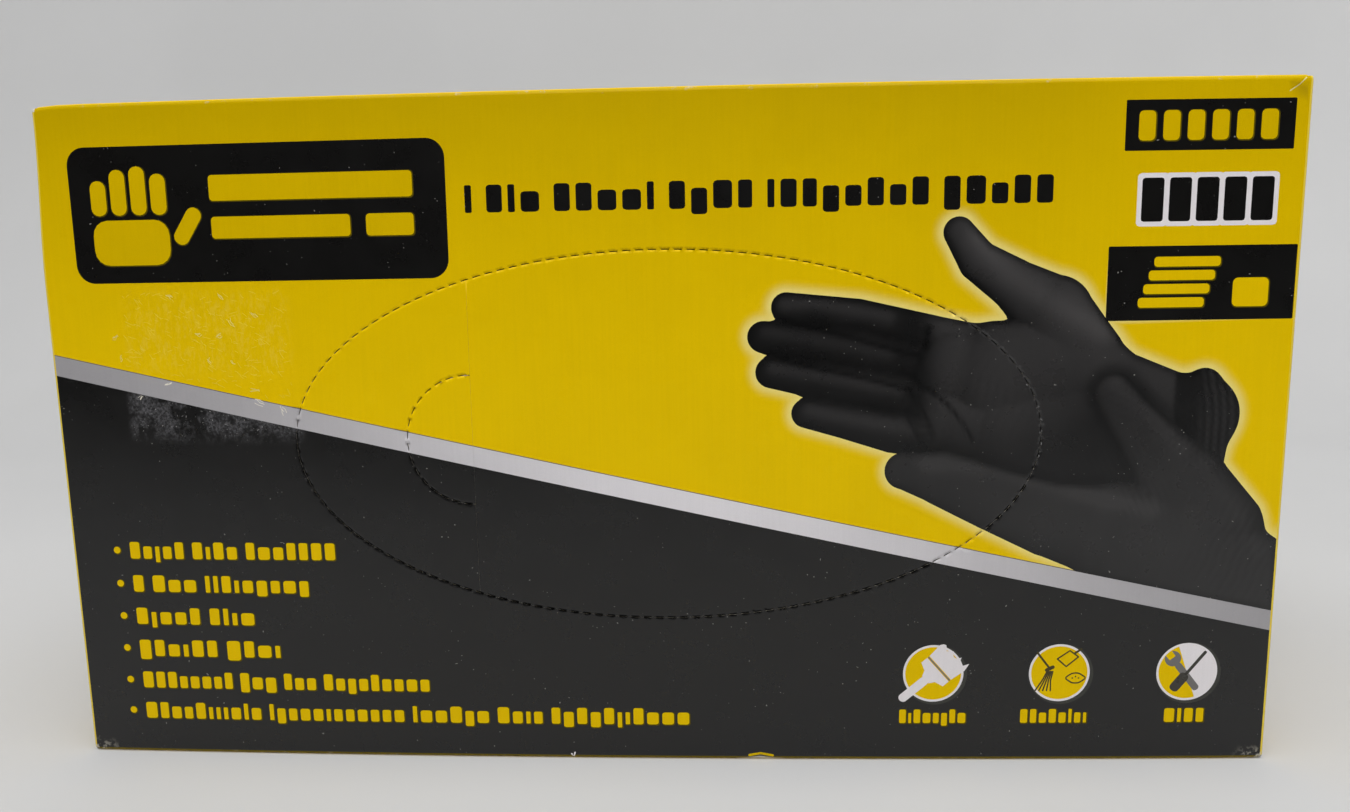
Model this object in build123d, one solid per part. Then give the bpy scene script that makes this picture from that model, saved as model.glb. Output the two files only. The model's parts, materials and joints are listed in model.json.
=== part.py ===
from build123d import *
import os
from math import cos, radians, sin, sqrt

# Tuck-end dispenser carton of fifty disposable gloves, standing on its long narrow side.
# Units are millimetres. The origin is the bottom centre of the closed carton: X runs along its
# length, +Z is up, and the dispensing face looks towards -Y. Every panel and flap is a flat piece of
# folding board that meets its neighbour on a crease, and each crease that opens is a hinge line.

# Driving dimensions of the closed carton
LENGTH = 240.0
DEPTH = 70.0
HEIGHT = 131.5
BOARD = 0.5  # folding boxboard thickness
FOLD_R = 1.0  # outer radius of a folded edge
CREASE_GAP = 0.02  # air between a hinged flap's round edge and the panel it turns on

# Long seam: the glue flap runs down inside the back panel from the top panel
GLUE = 0.1
GLUE_FLAP = 14.0
GLUE_FLAP_LENGTH = 208.0
GLUE_BEAD_LENGTH = 200.0
GLUE_BEAD_WIDTH = 8.0

# End closures, hinged on the dispensing face and tucked in behind the back panel
CLOSURE_MARGIN = 0.8
TUCK_LENGTH = 15.0
TUCK_MARGIN = 5.0
TUCK_CORNER_R = 9.0
TUCK_LEAN = 10.0  # degrees that the tucked flap leans in from the back panel
TUCK_HINGE_Y = 33.6
TUCK_EDGE_BACK = 0.4  # the closure's edge stops this far short of its tuck crease

# Dust flaps, hinged on the top and bottom panels under each closure
DUST_LENGTH = 40.0
DUST_FRONT = -33.5
DUST_BACK = 32.0
DUST_FRONT_SLOPE = 0.85  # the front edge slopes back this much for each millimetre of length
DUST_BACK_SLOPE = 0.1
DUST_CORNER_R = 4.0
DUST_GAP = 0.1

# Dispensing oval and its thumb tab, drawn about the oval's centre
OVAL_X = 1.3
OVAL_Z = 66.2
OVAL_A = 71.9
OVAL_B = 35.8
CUT = 0.15  # perforation kerf
SCORE_X = -37.1  # crease line where the pull segment and the thumb tab fold
SCORE_END = 0.2  # the crease's round edge stops this far inside the oval's edge
TAB_R = 12.6

# Gloves: flattened size, and where the stack lies between front and back
GLOVE_COUNT = 50
GLOVE_FILM = 0.18
GLOVE_WALLS = 2 * GLOVE_FILM  # pressed flat, one wall on the other
GLOVE_LENGTH = 230.0
PALM_WIDTH = 105.0
PALM_LENGTH = 75.0
PALM_START = -37.0  # where the palm begins, from the centre
PALM_CORNER_R = 12.0
CUFF_WIDTH = 95.0
CUFF_CORNER_R = 3.0
CUFF_OVERLAP = 20.0  # how far the cuff runs into the palm
FINGER_WIDTH = 26.0
FINGER_ROOT = -7.0  # where the fingers begin, from the centre
FINGER_REACH = (92.0, 108.0, 115.0, 108.0)  # little, ring, middle and index tips, from the centre
THUMB_WIDTH = 30.0
THUMB_LENGTH = 92.0
THUMB_ANGLE = 14.0
STACK_FRONT = -20.0
STACK_BACK = 30.4
STACK_CENTRE_Z = 57.5
GLOVES_PER_BUNDLE = 10
SINGLE_GLOVES = 10  # gloves 1 to 10 have their own nodes, and the rest are in bundles

# The first glove lies gathered under the oval, ready to be drawn out
PACK_LENGTH = 88.0
PACK_WIDTH = 42.0
PACK_THICKNESS = 8.0
PACK_CENTRE_X = 11.0
PACK_BACK = -24.0
PACK_EDGE_R = 3.0

# Derived places
HALF_X = LENGTH / 2
HALF_Y = DEPTH / 2
MID_Z = HEIGHT / 2
HALF_BOARD = BOARD / 2
EDGE_BACK = HALF_BOARD + CREASE_GAP
CLOSURE_X = HALF_X - HALF_BOARD
FACE_MID_Y = -HALF_Y + HALF_BOARD
DUST_X = HALF_X - 1.5 * BOARD - DUST_GAP
DUST_HINGE_Z = HALF_BOARD
SEAM_Y = HALF_Y - BOARD - GLUE
MITRE = 5.0
CUT_DEPTH = 2 * BOARD  # how far each way a cut through the front panel reaches


def wall_ring(back_y):
    """Section of the folded tube in the YZ plane, with its back wall's outer face at back_y."""
    depth = back_y + HALF_Y
    centre = ((back_y - HALF_Y) / 2, MID_Z)
    outer = Pos(*centre) * RectangleRounded(depth, HEIGHT, FOLD_R)
    inner = Pos(*centre) * RectangleRounded(depth - 2 * BOARD, HEIGHT - 2 * BOARD, FOLD_R - BOARD)
    return outer - inner


def tube_wall(ring, corners, half_length):
    """The part of the tube ring inside the YZ polygon corners, drawn out to half_length each way."""
    piece = ring & make_face(Polyline(*corners, close=True).edges())
    return extrude(Plane.YZ * piece, half_length, both=True)


def front_panel():
    corners = [(-HALF_Y, 0), (-HALF_Y + MITRE, MITRE), (-HALF_Y + MITRE, HEIGHT - MITRE), (-HALF_Y, HEIGHT)]
    panel = tube_wall(wall_ring(HALF_Y), corners, CLOSURE_X - EDGE_BACK)
    return panel - through_front(Ellipse(OVAL_A + CUT, OVAL_B + CUT))


def bottom_panel():
    corners = [(-HALF_Y, 0), (-HALF_Y + MITRE, MITRE), (HALF_Y - MITRE, MITRE), (HALF_Y, 0)]
    return tube_wall(wall_ring(HALF_Y), corners, DUST_X - EDGE_BACK)


def top_panel():
    top = HEIGHT
    corners = [(-HALF_Y, top), (-HALF_Y + MITRE, top - MITRE), (SEAM_Y - MITRE, top - MITRE), (SEAM_Y, top)]
    return tube_wall(wall_ring(SEAM_Y), corners, DUST_X - EDGE_BACK)


def back_panel():
    """The back panel folds up from the bottom panel and ends in a cut edge beside the top fold."""
    top = HEIGHT - FOLD_R
    corners = [(HALF_Y, 0), (HALF_Y - MITRE, MITRE), (HALF_Y - MITRE, top), (HALF_Y, top)]
    return tube_wall(wall_ring(HALF_Y), corners, HALF_X)


def glue_flap():
    low = HEIGHT - GLUE_FLAP
    corners = [(SEAM_Y, low), (SEAM_Y - MITRE, low), (SEAM_Y - MITRE, HEIGHT - MITRE), (SEAM_Y, HEIGHT)]
    return tube_wall(wall_ring(SEAM_Y), corners, GLUE_FLAP_LENGTH / 2)


def seam_glue():
    centre_z = HEIGHT - GLUE_FLAP / 2
    return Pos(0, SEAM_Y + GLUE / 2, centre_z) * Box(GLUE_BEAD_LENGTH, GLUE, GLUE_BEAD_WIDTH)


def through_front(sketch):
    """A prism of an XZ sketch about the oval's centre that runs right through the front panel."""
    return extrude(Plane.XZ.offset(HALF_Y) * (Pos(OVAL_X, OVAL_Z) * sketch), CUT_DEPTH, both=True)


def front_plate(sketch):
    """A board plate in the front panel's own thickness, from an XZ sketch about the oval's centre."""
    return extrude(Plane.XZ.offset(HALF_Y) * (Pos(OVAL_X, OVAL_Z) * sketch), -BOARD)


def crease_bead(start, direction, length):
    """The round edge of a hinged flap: a rod as thick as the board, along its crease."""
    return Plane(start, z_dir=direction) * extrude(Circle(HALF_BOARD), length)


def score_bead(low, high):
    """Round edge on the oval's score line between two heights from the oval's centre."""
    return crease_bead((OVAL_X + SCORE_X, FACE_MID_Y, OVAL_Z + low), (0, 0, 1), high - low)


def left_of(x):
    """Sketch of the half plane to the left of x, as large as the oval needs."""
    return Pos(x - OVAL_A, 0) * Rectangle(2 * OVAL_A, 4 * OVAL_B)


def tear_out_oval():
    return front_plate(Ellipse(OVAL_A, OVAL_B) - left_of(SCORE_X + EDGE_BACK))


def pull_segment():
    """The end of the oval left of the score line, with the thumb tab's half disc cut out."""
    segment = Ellipse(OVAL_A, OVAL_B) & left_of(SCORE_X)
    plate = front_plate(segment - Pos(SCORE_X, 0) * Circle(TAB_R + CUT))
    low = TAB_R + CUT
    high = OVAL_B * sqrt(1 - (SCORE_X / OVAL_A) ** 2) - SCORE_END
    return plate + score_bead(low, high) + score_bead(-high, -low)


def thumb_tab():
    half_disc = Pos(SCORE_X, 0) * Circle(TAB_R) & left_of(SCORE_X)
    reach = TAB_R - SCORE_END
    return front_plate(half_disc) + score_bead(-reach, reach)


def closure(side):
    """End panel, from its crease on the dispensing face to the crease of its tuck flap."""
    tall = HEIGHT - 2 * CLOSURE_MARGIN
    wide = TUCK_HINGE_Y - TUCK_EDGE_BACK - FACE_MID_Y
    centre = (side * CLOSURE_X, FACE_MID_Y + wide / 2, MID_Z)
    plate = Pos(*centre) * Box(BOARD, wide, tall)
    bead = crease_bead((side * CLOSURE_X, FACE_MID_Y, CLOSURE_MARGIN), (0, 0, 1), tall)
    return plate + bead


def tuck_flap(side):
    """Tongue that holds the closure shut: it slides in behind the back panel, leaning inwards."""
    tall = HEIGHT - 2 * TUCK_MARGIN
    blank = Pos(TUCK_LENGTH / 2, 0) * Rectangle(TUCK_LENGTH, tall)
    blank = fillet(blank.vertices().group_by(Axis.X)[-1], TUCK_CORNER_R)
    lean = radians(TUCK_LEAN)
    along = (-side * cos(lean), -sin(lean), 0)
    across = (sin(lean), -side * cos(lean), 0)
    hinge = (side * CLOSURE_X, TUCK_HINGE_Y, MID_Z)
    plate = extrude(Plane(hinge, x_dir=along, z_dir=across) * blank, HALF_BOARD, both=True)
    return plate + crease_bead((side * CLOSURE_X, TUCK_HINGE_Y, TUCK_MARGIN), (0, 0, 1), tall)


def dust_flap(side, upper):
    """Flap under a closure. Its front edge slopes back so that it springs out as the closure opens."""
    hinge_z = HEIGHT - DUST_HINGE_Z if upper else DUST_HINGE_Z
    inward = -1 if upper else 1
    far_front = DUST_FRONT + DUST_FRONT_SLOPE * DUST_LENGTH
    far_back = DUST_BACK - DUST_BACK_SLOPE * DUST_LENGTH
    corners = [(DUST_FRONT, 0), (DUST_BACK, 0), (far_back, DUST_LENGTH), (far_front, DUST_LENGTH)]
    blank = make_face(Polyline(*corners, close=True).edges())
    blank = fillet(blank.vertices().group_by(Axis.Y)[-1], DUST_CORNER_R)
    # The flap's own Y axis points from its crease to its free edge.
    flat = Plane((side * DUST_X, 0, hinge_z), x_dir=(0, 1, 0), z_dir=(inward, 0, 0))
    plate = extrude(flat * blank, HALF_BOARD, both=True)
    bead = crease_bead((side * DUST_X, DUST_FRONT, hinge_z), (0, 1, 0), DUST_BACK - DUST_FRONT)
    return plate + bead


def glove_outline():
    """A glove pressed flat, fingers towards +X and thumb up, centred on its length."""
    half = GLOVE_LENGTH / 2
    cuff_length = PALM_START + half + CUFF_OVERLAP
    shape = Pos(-half + cuff_length / 2, 0) * RectangleRounded(cuff_length, CUFF_WIDTH, CUFF_CORNER_R)
    palm = RectangleRounded(PALM_LENGTH, PALM_WIDTH, PALM_CORNER_R)
    shape += Pos(PALM_START + PALM_LENGTH / 2, 0) * palm
    gaps = len(FINGER_REACH) - 1
    for i, reach in enumerate(FINGER_REACH):
        z = (i - gaps / 2) * (PALM_WIDTH - FINGER_WIDTH) / gaps
        long = reach - FINGER_ROOT
        shape += Pos(reach - long / 2, z) * SlotOverall(long, FINGER_WIDTH)
    thumb_root = (PALM_START, PALM_WIDTH / 2 - THUMB_WIDTH / 2)
    thumb = Pos(THUMB_LENGTH / 2 - THUMB_WIDTH / 2, 0) * SlotOverall(THUMB_LENGTH, THUMB_WIDTH)
    return shape + Pos(*thumb_root) * Rot(0, 0, THUMB_ANGLE) * thumb


def stacked_glove(outline, number):
    """Glove number (2 is next under the first), laid head to tail with its neighbours."""
    pitch = (STACK_BACK - STACK_FRONT) / (GLOVE_COUNT - 1)
    front_y = STACK_FRONT + (number - 2) * pitch
    turn = 180 if number % 2 else 0
    centre_z = STACK_CENTRE_Z if number % 2 == 0 else HEIGHT - STACK_CENTRE_Z
    flat = Plane.XZ.offset(-front_y)
    return extrude(flat * (Pos(0, centre_z) * Rot(0, 0, turn) * outline), -GLOVE_WALLS)


def first_glove():
    """The gathered first glove as a plain pillow that passes through the oval."""
    outline = Pos(PACK_CENTRE_X, OVAL_Z) * Ellipse(PACK_LENGTH / 2, PACK_WIDTH / 2)
    pillow = extrude(Plane.XZ.offset(-PACK_BACK) * outline, PACK_THICKNESS)
    return fillet(pillow.edges().filter_by(GeomType.ELLIPSE), PACK_EDGE_R)


def save(name, shapes):
    """Writes one node. A list becomes one node of separate solids."""
    whole = Compound(children=list(shapes)) if isinstance(shapes, list) else shapes
    export_step(whole, f"parts/{name}.step")


os.makedirs("parts", exist_ok=True)

save("front_panel", front_panel())
save("back_panel", back_panel())
save("top_panel", top_panel())
save("bottom_panel", bottom_panel())
save("glue_flap", glue_flap())
save("seam_glue", seam_glue())
save("tear_out_oval", tear_out_oval())
save("pull_segment", pull_segment())
save("thumb_tab", thumb_tab())

for end, side in (("left", -1), ("right", 1)):
    save(f"{end}_closure", closure(side))
    save(f"{end}_tuck_flap", tuck_flap(side))
    save(f"{end}_upper_dust_flap", dust_flap(side, upper=True))
    save(f"{end}_lower_dust_flap", dust_flap(side, upper=False))

save("glove_01", first_glove())
outline = glove_outline()
for number in range(2, SINGLE_GLOVES + 1):
    save(f"glove_{number:02d}", stacked_glove(outline, number))
for first in range(SINGLE_GLOVES + 1, GLOVE_COUNT + 1, GLOVES_PER_BUNDLE):
    last = first + GLOVES_PER_BUNDLE - 1
    bundle = [stacked_glove(outline, number) for number in range(first, last + 1)]
    save(f"gloves_{first}_to_{last}", bundle)
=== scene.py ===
import json
import math
import random

import bpy
import numpy as np
from mathutils import Matrix, Vector
from mathutils.geometry import delaunay_2d_cdt


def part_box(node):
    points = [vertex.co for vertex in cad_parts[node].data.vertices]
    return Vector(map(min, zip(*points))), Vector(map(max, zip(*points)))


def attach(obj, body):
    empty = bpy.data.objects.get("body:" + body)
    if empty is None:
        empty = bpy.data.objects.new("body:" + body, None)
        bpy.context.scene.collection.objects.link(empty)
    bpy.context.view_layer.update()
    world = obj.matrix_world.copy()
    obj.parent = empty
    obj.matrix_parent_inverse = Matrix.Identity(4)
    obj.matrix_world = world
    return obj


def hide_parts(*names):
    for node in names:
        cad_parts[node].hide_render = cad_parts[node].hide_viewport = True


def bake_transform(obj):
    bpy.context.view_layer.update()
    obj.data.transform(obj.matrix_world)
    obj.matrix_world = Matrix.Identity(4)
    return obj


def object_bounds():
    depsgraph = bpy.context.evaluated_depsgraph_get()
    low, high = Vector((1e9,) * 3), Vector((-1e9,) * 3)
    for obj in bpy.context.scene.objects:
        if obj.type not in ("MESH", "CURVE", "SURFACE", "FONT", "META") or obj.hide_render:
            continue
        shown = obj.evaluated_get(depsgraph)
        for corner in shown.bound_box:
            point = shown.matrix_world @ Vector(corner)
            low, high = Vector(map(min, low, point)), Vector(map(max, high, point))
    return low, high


# The visual model of a disposable glove dispenser carton. Lengths in this script are millimetres
# until a mesh is made. Printed sheets are drawn flat in sheet coordinates (u, v), cut into triangles
# along every printed outline, and then wrapped round the carton's folds.

MM = 0.001  # metres in a millimetre
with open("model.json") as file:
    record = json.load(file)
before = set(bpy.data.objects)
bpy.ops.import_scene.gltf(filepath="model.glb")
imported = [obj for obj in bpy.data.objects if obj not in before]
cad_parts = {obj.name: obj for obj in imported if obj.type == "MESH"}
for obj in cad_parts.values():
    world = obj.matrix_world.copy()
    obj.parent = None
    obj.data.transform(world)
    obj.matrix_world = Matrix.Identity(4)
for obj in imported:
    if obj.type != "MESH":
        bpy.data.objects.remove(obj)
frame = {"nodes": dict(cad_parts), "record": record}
cad_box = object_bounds()


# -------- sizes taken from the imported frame

def box_mm(node):
    low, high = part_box(node)
    return np.array(low) / MM, np.array(high) / MM


HALF_X, HALF_Y, HEIGHT = (float(c) / MM for c in cad_box[1])
MID_Z = HEIGHT / 2
BOARD = 0.5  # thickness of the board
KERF = 0.15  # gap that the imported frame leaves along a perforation
HALF_SEAM = 0.01  # half the gap along the score line
TUBE_R = 1.0  # radius of the folds that run along the carton
END_R = 0.9  # radius of the folds at its ends
QUARTER = math.pi / 4

OVAL_RIGHT = float(box_mm("tear_out_oval")[1][0])
OVAL_LEFT = float(box_mm("pull_segment")[0][0])
OVAL_X = (OVAL_RIGHT + OVAL_LEFT) / 2
OVAL_A = (OVAL_RIGHT - OVAL_LEFT) / 2 + KERF / 2
OVAL_Z = float(box_mm("tear_out_oval")[0][2] + box_mm("tear_out_oval")[1][2]) / 2
OVAL_B = float(box_mm("tear_out_oval")[1][2]) - OVAL_Z + KERF / 2
SCORE_X = float(box_mm("thumb_tab")[1][0]) - BOARD / 2
SCORE_LINE = SCORE_X + 0.24
TAB_R = SCORE_X - float(box_mm("thumb_tab")[0][0]) + KERF / 2


# -------- small maths

def smoothstep(low, high, value):
    t = np.clip((value - low) / (high - low), 0, 1)
    return t * t * (3 - 2 * t)


def linear(red, green, blue):
    """Linear colour from the usual 0 to 255 values."""
    parts = np.array([red, green, blue]) / 255
    return np.where(parts < 0.0404, parts / 12.92, ((parts + 0.055) / 1.055) ** 2.4)


def inside(polygon, u, v):
    """Even-odd test of the points (u, v) against one closed outline."""
    poly = np.asarray(polygon, float)
    hit = np.zeros(len(u), bool)
    (low_u, low_v), (high_u, high_v) = poly.min(axis=0), poly.max(axis=0)
    near = np.nonzero((u > low_u) & (u < high_u) & (v > low_v) & (v < high_v))[0]
    if len(near) == 0:
        return hit
    x, y = u[near], v[near]
    odd = np.zeros(len(near), bool)
    for (ax, ay), (bx, by) in zip(poly, np.roll(poly, -1, axis=0)):
        if ay == by:
            continue
        crosses = (ay > y) != (by > y)
        odd ^= crosses & (x < (bx - ax) * (y - ay) / (by - ay) + ax)
    hit[near] = odd
    return hit


def rounded_box(u0, v0, u1, v1, radius, steps=4):
    """Outline of a rectangle with round corners, anticlockwise."""
    points = []
    left, right, low, high = u0 + radius, u1 - radius, v0 + radius, v1 - radius
    for quarter, (cu, cv) in enumerate(((right, high), (left, high), (left, low), (right, low))):
        for i in range(steps + 1):
            a = (quarter + i / steps) * math.pi / 2
            points.append((cu + radius * math.cos(a), cv + radius * math.sin(a)))
    return points


def arc(cu, cv, radius, start, end, steps):
    """Points of an arc, with both its ends, from one angle to the other."""
    return [(cu + radius * math.cos(a), cv + radius * math.sin(a)) for a in np.linspace(start, end, steps)]


def disc(cu, cv, radius, steps=48):
    return arc(cu, cv, radius, 0, 2 * math.pi, steps + 1)[:-1]


def stroke(points, width):
    """Outline of a pen line of even width through the points, with round ends."""
    pts = [Vector(p) for p in points]
    left, right = [], []
    count = len(pts)
    for i, p in enumerate(pts):
        before, after = pts[max(i - 1, 0)], pts[min(i + 1, count - 1)]
        along = (after - before).normalized()
        side = Vector((-along.y, along.x)) * width / 2
        left.append(tuple(p + side))
        right.append(tuple(p - side))
    cap_end, cap_start = [], []
    for points_out, centre, neighbour in ((cap_end, pts[-1], pts[-2]), (cap_start, pts[0], pts[1])):
        along = (centre - neighbour).normalized()
        side = Vector((-along.y, along.x))
        for k in (1, 2, 3):
            a = math.pi * k / 4
            points_out.append(tuple(centre + (side * math.cos(a) + along * math.sin(a)) * width / 2))
    return left + cap_end + right[::-1] + cap_start


def turned(points, degrees, cu, cv, scale=1.0):
    """Points drawn about their own origin, turned and moved to (cu, cv)."""
    c, s = math.cos(math.radians(degrees)) * scale, math.sin(math.radians(degrees)) * scale
    return [(cu + c * u - s * v, cv + s * u + c * v) for u, v in points]


# -------- how the full carton swells

EDGE_BOW = 1.9  # how far the face's upper and lower edges bow out
FACE_BOW = 3.0  # and its middle
TOP_LIFT = 0.35
CORNER_PRESS = 1.15


def pressed(points):
    """The carton's left end is pressed in a little along its top edge."""
    x, z = points[:, 0], points[:, 2]
    near = smoothstep(8 - HALF_X, -HALF_X, x) * smoothstep(0.74, 0.98, z / HEIGHT)
    return points + np.outer(near * CORNER_PRESS, (1, 0, -0.3))


def swell(points):
    """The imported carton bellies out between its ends: front and back bow outwards and the top lifts."""
    x, y, z = points[:, 0], points[:, 1], points[:, 2]
    span = np.clip(1 - (x / HALF_X) ** 2, 0, 1)
    rise = np.clip(z / HEIGHT, 0, 1)
    bow = EDGE_BOW + (FACE_BOW - EDGE_BOW) * np.sin(np.pi * rise)
    lift = TOP_LIFT * rise ** 3 * (1.4 - 0.4 * (y / HALF_Y) ** 2)
    return pressed(np.stack([x, y * (1 + span * bow / HALF_Y), z + span * lift], axis=1))


def wrap(u, half, radius):
    """Sheet distance u from the middle of a panel: how far out it lies, and how far it has curled back."""
    flat = half - radius
    angle = np.maximum(np.abs(u) - flat, 0) / radius
    out = np.sign(u) * (np.minimum(np.abs(u), flat) + radius * np.sin(angle))
    return out, radius * (1 - np.cos(angle))


def wrap_end(half, radius):
    """Sheet distance at which a panel's share of a fold ends: halfway round the arc."""
    return half - radius + radius * QUARTER


FACE_U = wrap_end(HALF_X, END_R)
FACE_V = wrap_end(MID_Z, TUBE_R)


# -------- perforations

DASH_PITCH = 2.42  # from one dash to the next
DASH_CUT = 1.36  # length of a dash
SLIT_HALF = 0.085  # half the width of a cut dash
NICK_HALF = 0.01  # half the gap that is drawn where the board is still whole
NICK_STEP = 0.12  # length over which one runs into the other


class Cut:
    """A perforated line: an arc of an ellipse, measured by distance along it."""

    def __init__(self, cu, cv, a, b, start, end):
        self.centre = (cu, cv)
        self.a, self.b = a, b
        self.angles = np.linspace(start, end, 1441)
        du = -a * np.sin(self.angles)
        dv = b * np.cos(self.angles)
        speed = np.hypot(du, dv)
        steps = (speed[1:] + speed[:-1]) / 2 * abs(self.angles[1] - self.angles[0])
        self.along = np.concatenate([[0], np.cumsum(steps)])
        self.dashes = round(self.along[-1] / DASH_PITCH)
        self.pitch = self.along[-1] / self.dashes

    def offset_point(self, s, offset):
        angle = np.interp(s, self.along, self.angles)
        u, v = self.a * math.cos(angle), self.b * math.sin(angle)
        n = Vector((u / self.a ** 2, v / self.b ** 2)).normalized()
        return (self.centre[0] + u + n.x * offset, self.centre[1] + v + n.y * offset)

    def edge(self, side):
        """One torn edge of the line: side +1 is the outer piece's edge and -1 the inner piece's."""
        points = []
        cut = DASH_CUT / DASH_PITCH * self.pitch
        steps = ((0.0, SLIT_HALF), (cut / 2, SLIT_HALF), (cut, SLIT_HALF),
                 (cut + NICK_STEP, NICK_HALF), (self.pitch - NICK_STEP, NICK_HALF))
        for i in range(self.dashes):
            s = i * self.pitch + 0.25 * self.pitch
            for d, half in steps:
                at = s + d
                if at <= self.along[-1] or self.closed():
                    points.append(self.offset_point(at % self.along[-1], side * half))
        return points

    def dash_patches(self):
        """Outlines of the dull marks that the cutting rule left round its dashes."""
        patches = []
        cut = DASH_CUT / DASH_PITCH * self.pitch
        for i in range(self.dashes):
            s = (i + 0.25) * self.pitch + np.array((-0.1, cut / 2, cut + 0.1))
            if self.closed() or s[-1] < self.along[-1]:
                s = s % self.along[-1]
                sides = [[self.offset_point(at, offset) for at in s] for offset in (0.27, -0.27)]
                patches.append(sides[0] + sides[1][::-1])
        return patches

    def closed(self):
        return abs(abs(self.angles[-1] - self.angles[0]) - 2 * math.pi) < 1e-6

    def dent(self, u, v):
        """Depth to which the cutting rule pressed the board beside the line."""
        x, y = (u - self.centre[0]) / self.a, (v - self.centre[1]) / self.b
        ring = np.hypot(x, y)
        slope = np.hypot(x / self.a, y / self.b) / np.maximum(ring, 1e-6)
        distance = (ring - 1) / np.maximum(slope, 1e-6)
        angle = np.arctan2(y, x)
        low, high = min(self.angles[0], self.angles[-1]), max(self.angles[0], self.angles[-1])
        angle = np.where(angle < low, angle + 2 * np.pi, angle)
        on_line = (angle <= high + 1e-6)
        order = np.argsort(self.angles)
        s = np.interp(angle, self.angles[order], self.along[order])
        phase = ((s / self.pitch) - 0.25) % 1.0
        cut = DASH_CUT / DASH_PITCH
        in_dash = smoothstep(-0.06, 0.04, phase) * (1 - smoothstep(cut - 0.04, cut + 0.06, phase))
        return on_line * np.exp(-(distance / 0.28) ** 2) * (0.03 + 0.13 * in_dash)

    def lip(self, u, v):
        """Painted light and shade beside a dash: +1 on the lip below it, painted lighter as if it caught the
        light, and -1 above it, painted darker as if in shade.
        """
        x, y = (u - self.centre[0]) / self.a, (v - self.centre[1]) / self.b
        out_u, out_v = x / self.a, y / self.b
        length = np.maximum(np.hypot(out_u, out_v), 1e-6)
        offset = (np.hypot(x, y) - 1) / length * np.maximum(np.hypot(x, y), 1e-6)
        below = -np.sign(offset) * out_v / length
        return below * smoothstep(0.03, 0.12, self.dent(u, v))


OVAL = Cut(OVAL_X, OVAL_Z, OVAL_A, OVAL_B, 0, 2 * math.pi)
TAB = Cut(SCORE_X, OVAL_Z, TAB_R, TAB_R, math.pi / 2, 3 * math.pi / 2)


# -------- sheet maps: (u, v) on the print to the carton

def in_oval(u, v, grow=0.0):
    return ((u - OVAL_X) / (OVAL_A + grow)) ** 2 + ((v - OVAL_Z) / (OVAL_B + grow)) ** 2 < 1


CREASE_X = -19.3  # a faint upright crease in the face
MARGIN = 0.75  # the side panels' yellow laps round the folds by this much


def face_map(u, v):
    """Front panel: u is X and v is Z."""
    x, back_x = wrap(u, HALF_X, END_R)
    z, back_z = wrap(v - MID_Z, MID_Z, TUBE_R)
    y = -HALF_Y + back_x + back_z
    y = y + OVAL.dent(u, v) + TAB.dent(u, v)
    y = y + in_oval(u, v) * 0.07 * np.exp(-((u - SCORE_LINE) / 0.22) ** 2)
    off_cut = smoothstep(0.03, 0.09, np.abs(np.hypot((u - OVAL_X) / OVAL_A, (v - OVAL_Z) / OVAL_B) - 1))
    y = y + 0.02 * np.exp(-((u - CREASE_X) / 0.35) ** 2) * off_cut
    y = y + knocks(u, v)
    return swell(np.stack([x, y, z + MID_Z], axis=1))


def knocks(u, v):
    """Small damage: a crease across the top right corner, and nicks on the top and bottom edges."""
    line = np.abs((u - HALF_X + 3.6) + (v - HEIGHT + 1.2) * 1.3)
    near_corner = smoothstep(HALF_X - 6, HALF_X - 2, u) * smoothstep(HEIGHT - 5, HEIGHT - 2, v)
    crease = 0.25 * np.exp(-(line / 0.35) ** 2) * near_corner
    low_nick = 0.5 * np.exp(-((u - 20) / 1.6) ** 2 - ((v - 0.4) / 0.7) ** 2)
    top_nick = 0.5 * np.exp(-((u - 63) / 1.2) ** 2 - ((v - HEIGHT + 0.5) / 0.6) ** 2)
    return crease + low_nick + top_nick


BACK_TOP = HEIGHT - TUBE_R


def back_map(u, v):
    """Back panel, seen from behind: u runs towards -X. Its top edge is a cut edge."""
    z, curl = wrap(np.minimum(v - MID_Z, 0), MID_Z, TUBE_R)
    z = np.where(v > MID_Z, v - MID_Z, z)
    return swell(np.stack([-u, HALF_Y - curl, z + MID_Z], axis=1))


SLEEVE_END = HALF_X - 0.6
SEAM_Y = HALF_Y - 0.6
SLEEVE_U = wrap_end(SLEEVE_END, END_R)
TOP_HALF = (SEAM_Y + HALF_Y) / 2
TOP_MID = (SEAM_Y - HALF_Y) / 2


def top_map(u, v):
    """Top panel: u is X and v is Y from its middle. It curls down at the front, the back and both ends."""
    x, down_x = wrap(u, SLEEVE_END, END_R)
    y, down_y = wrap(v, TOP_HALF, TUBE_R)
    return swell(np.stack([x, y + TOP_MID, HEIGHT - down_x - down_y], axis=1))


def bottom_map(u, v):
    """Bottom panel, seen from below: u is X and v runs towards -Y."""
    x, up_x = wrap(u, SLEEVE_END, END_R)
    y, up_y = wrap(v, HALF_Y, TUBE_R)
    return swell(np.stack([x, -y, up_x + up_y], axis=1))


def glue_flap_map(u, v):
    """Glue flap behind the back panel's top edge: u runs towards -X and v is Z."""
    z, curl = wrap(v - MID_Z, MID_Z, TUBE_R)
    return swell(np.stack([-u, SEAM_Y - np.where(v > MID_Z, curl, 0), z + MID_Z], axis=1))


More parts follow.
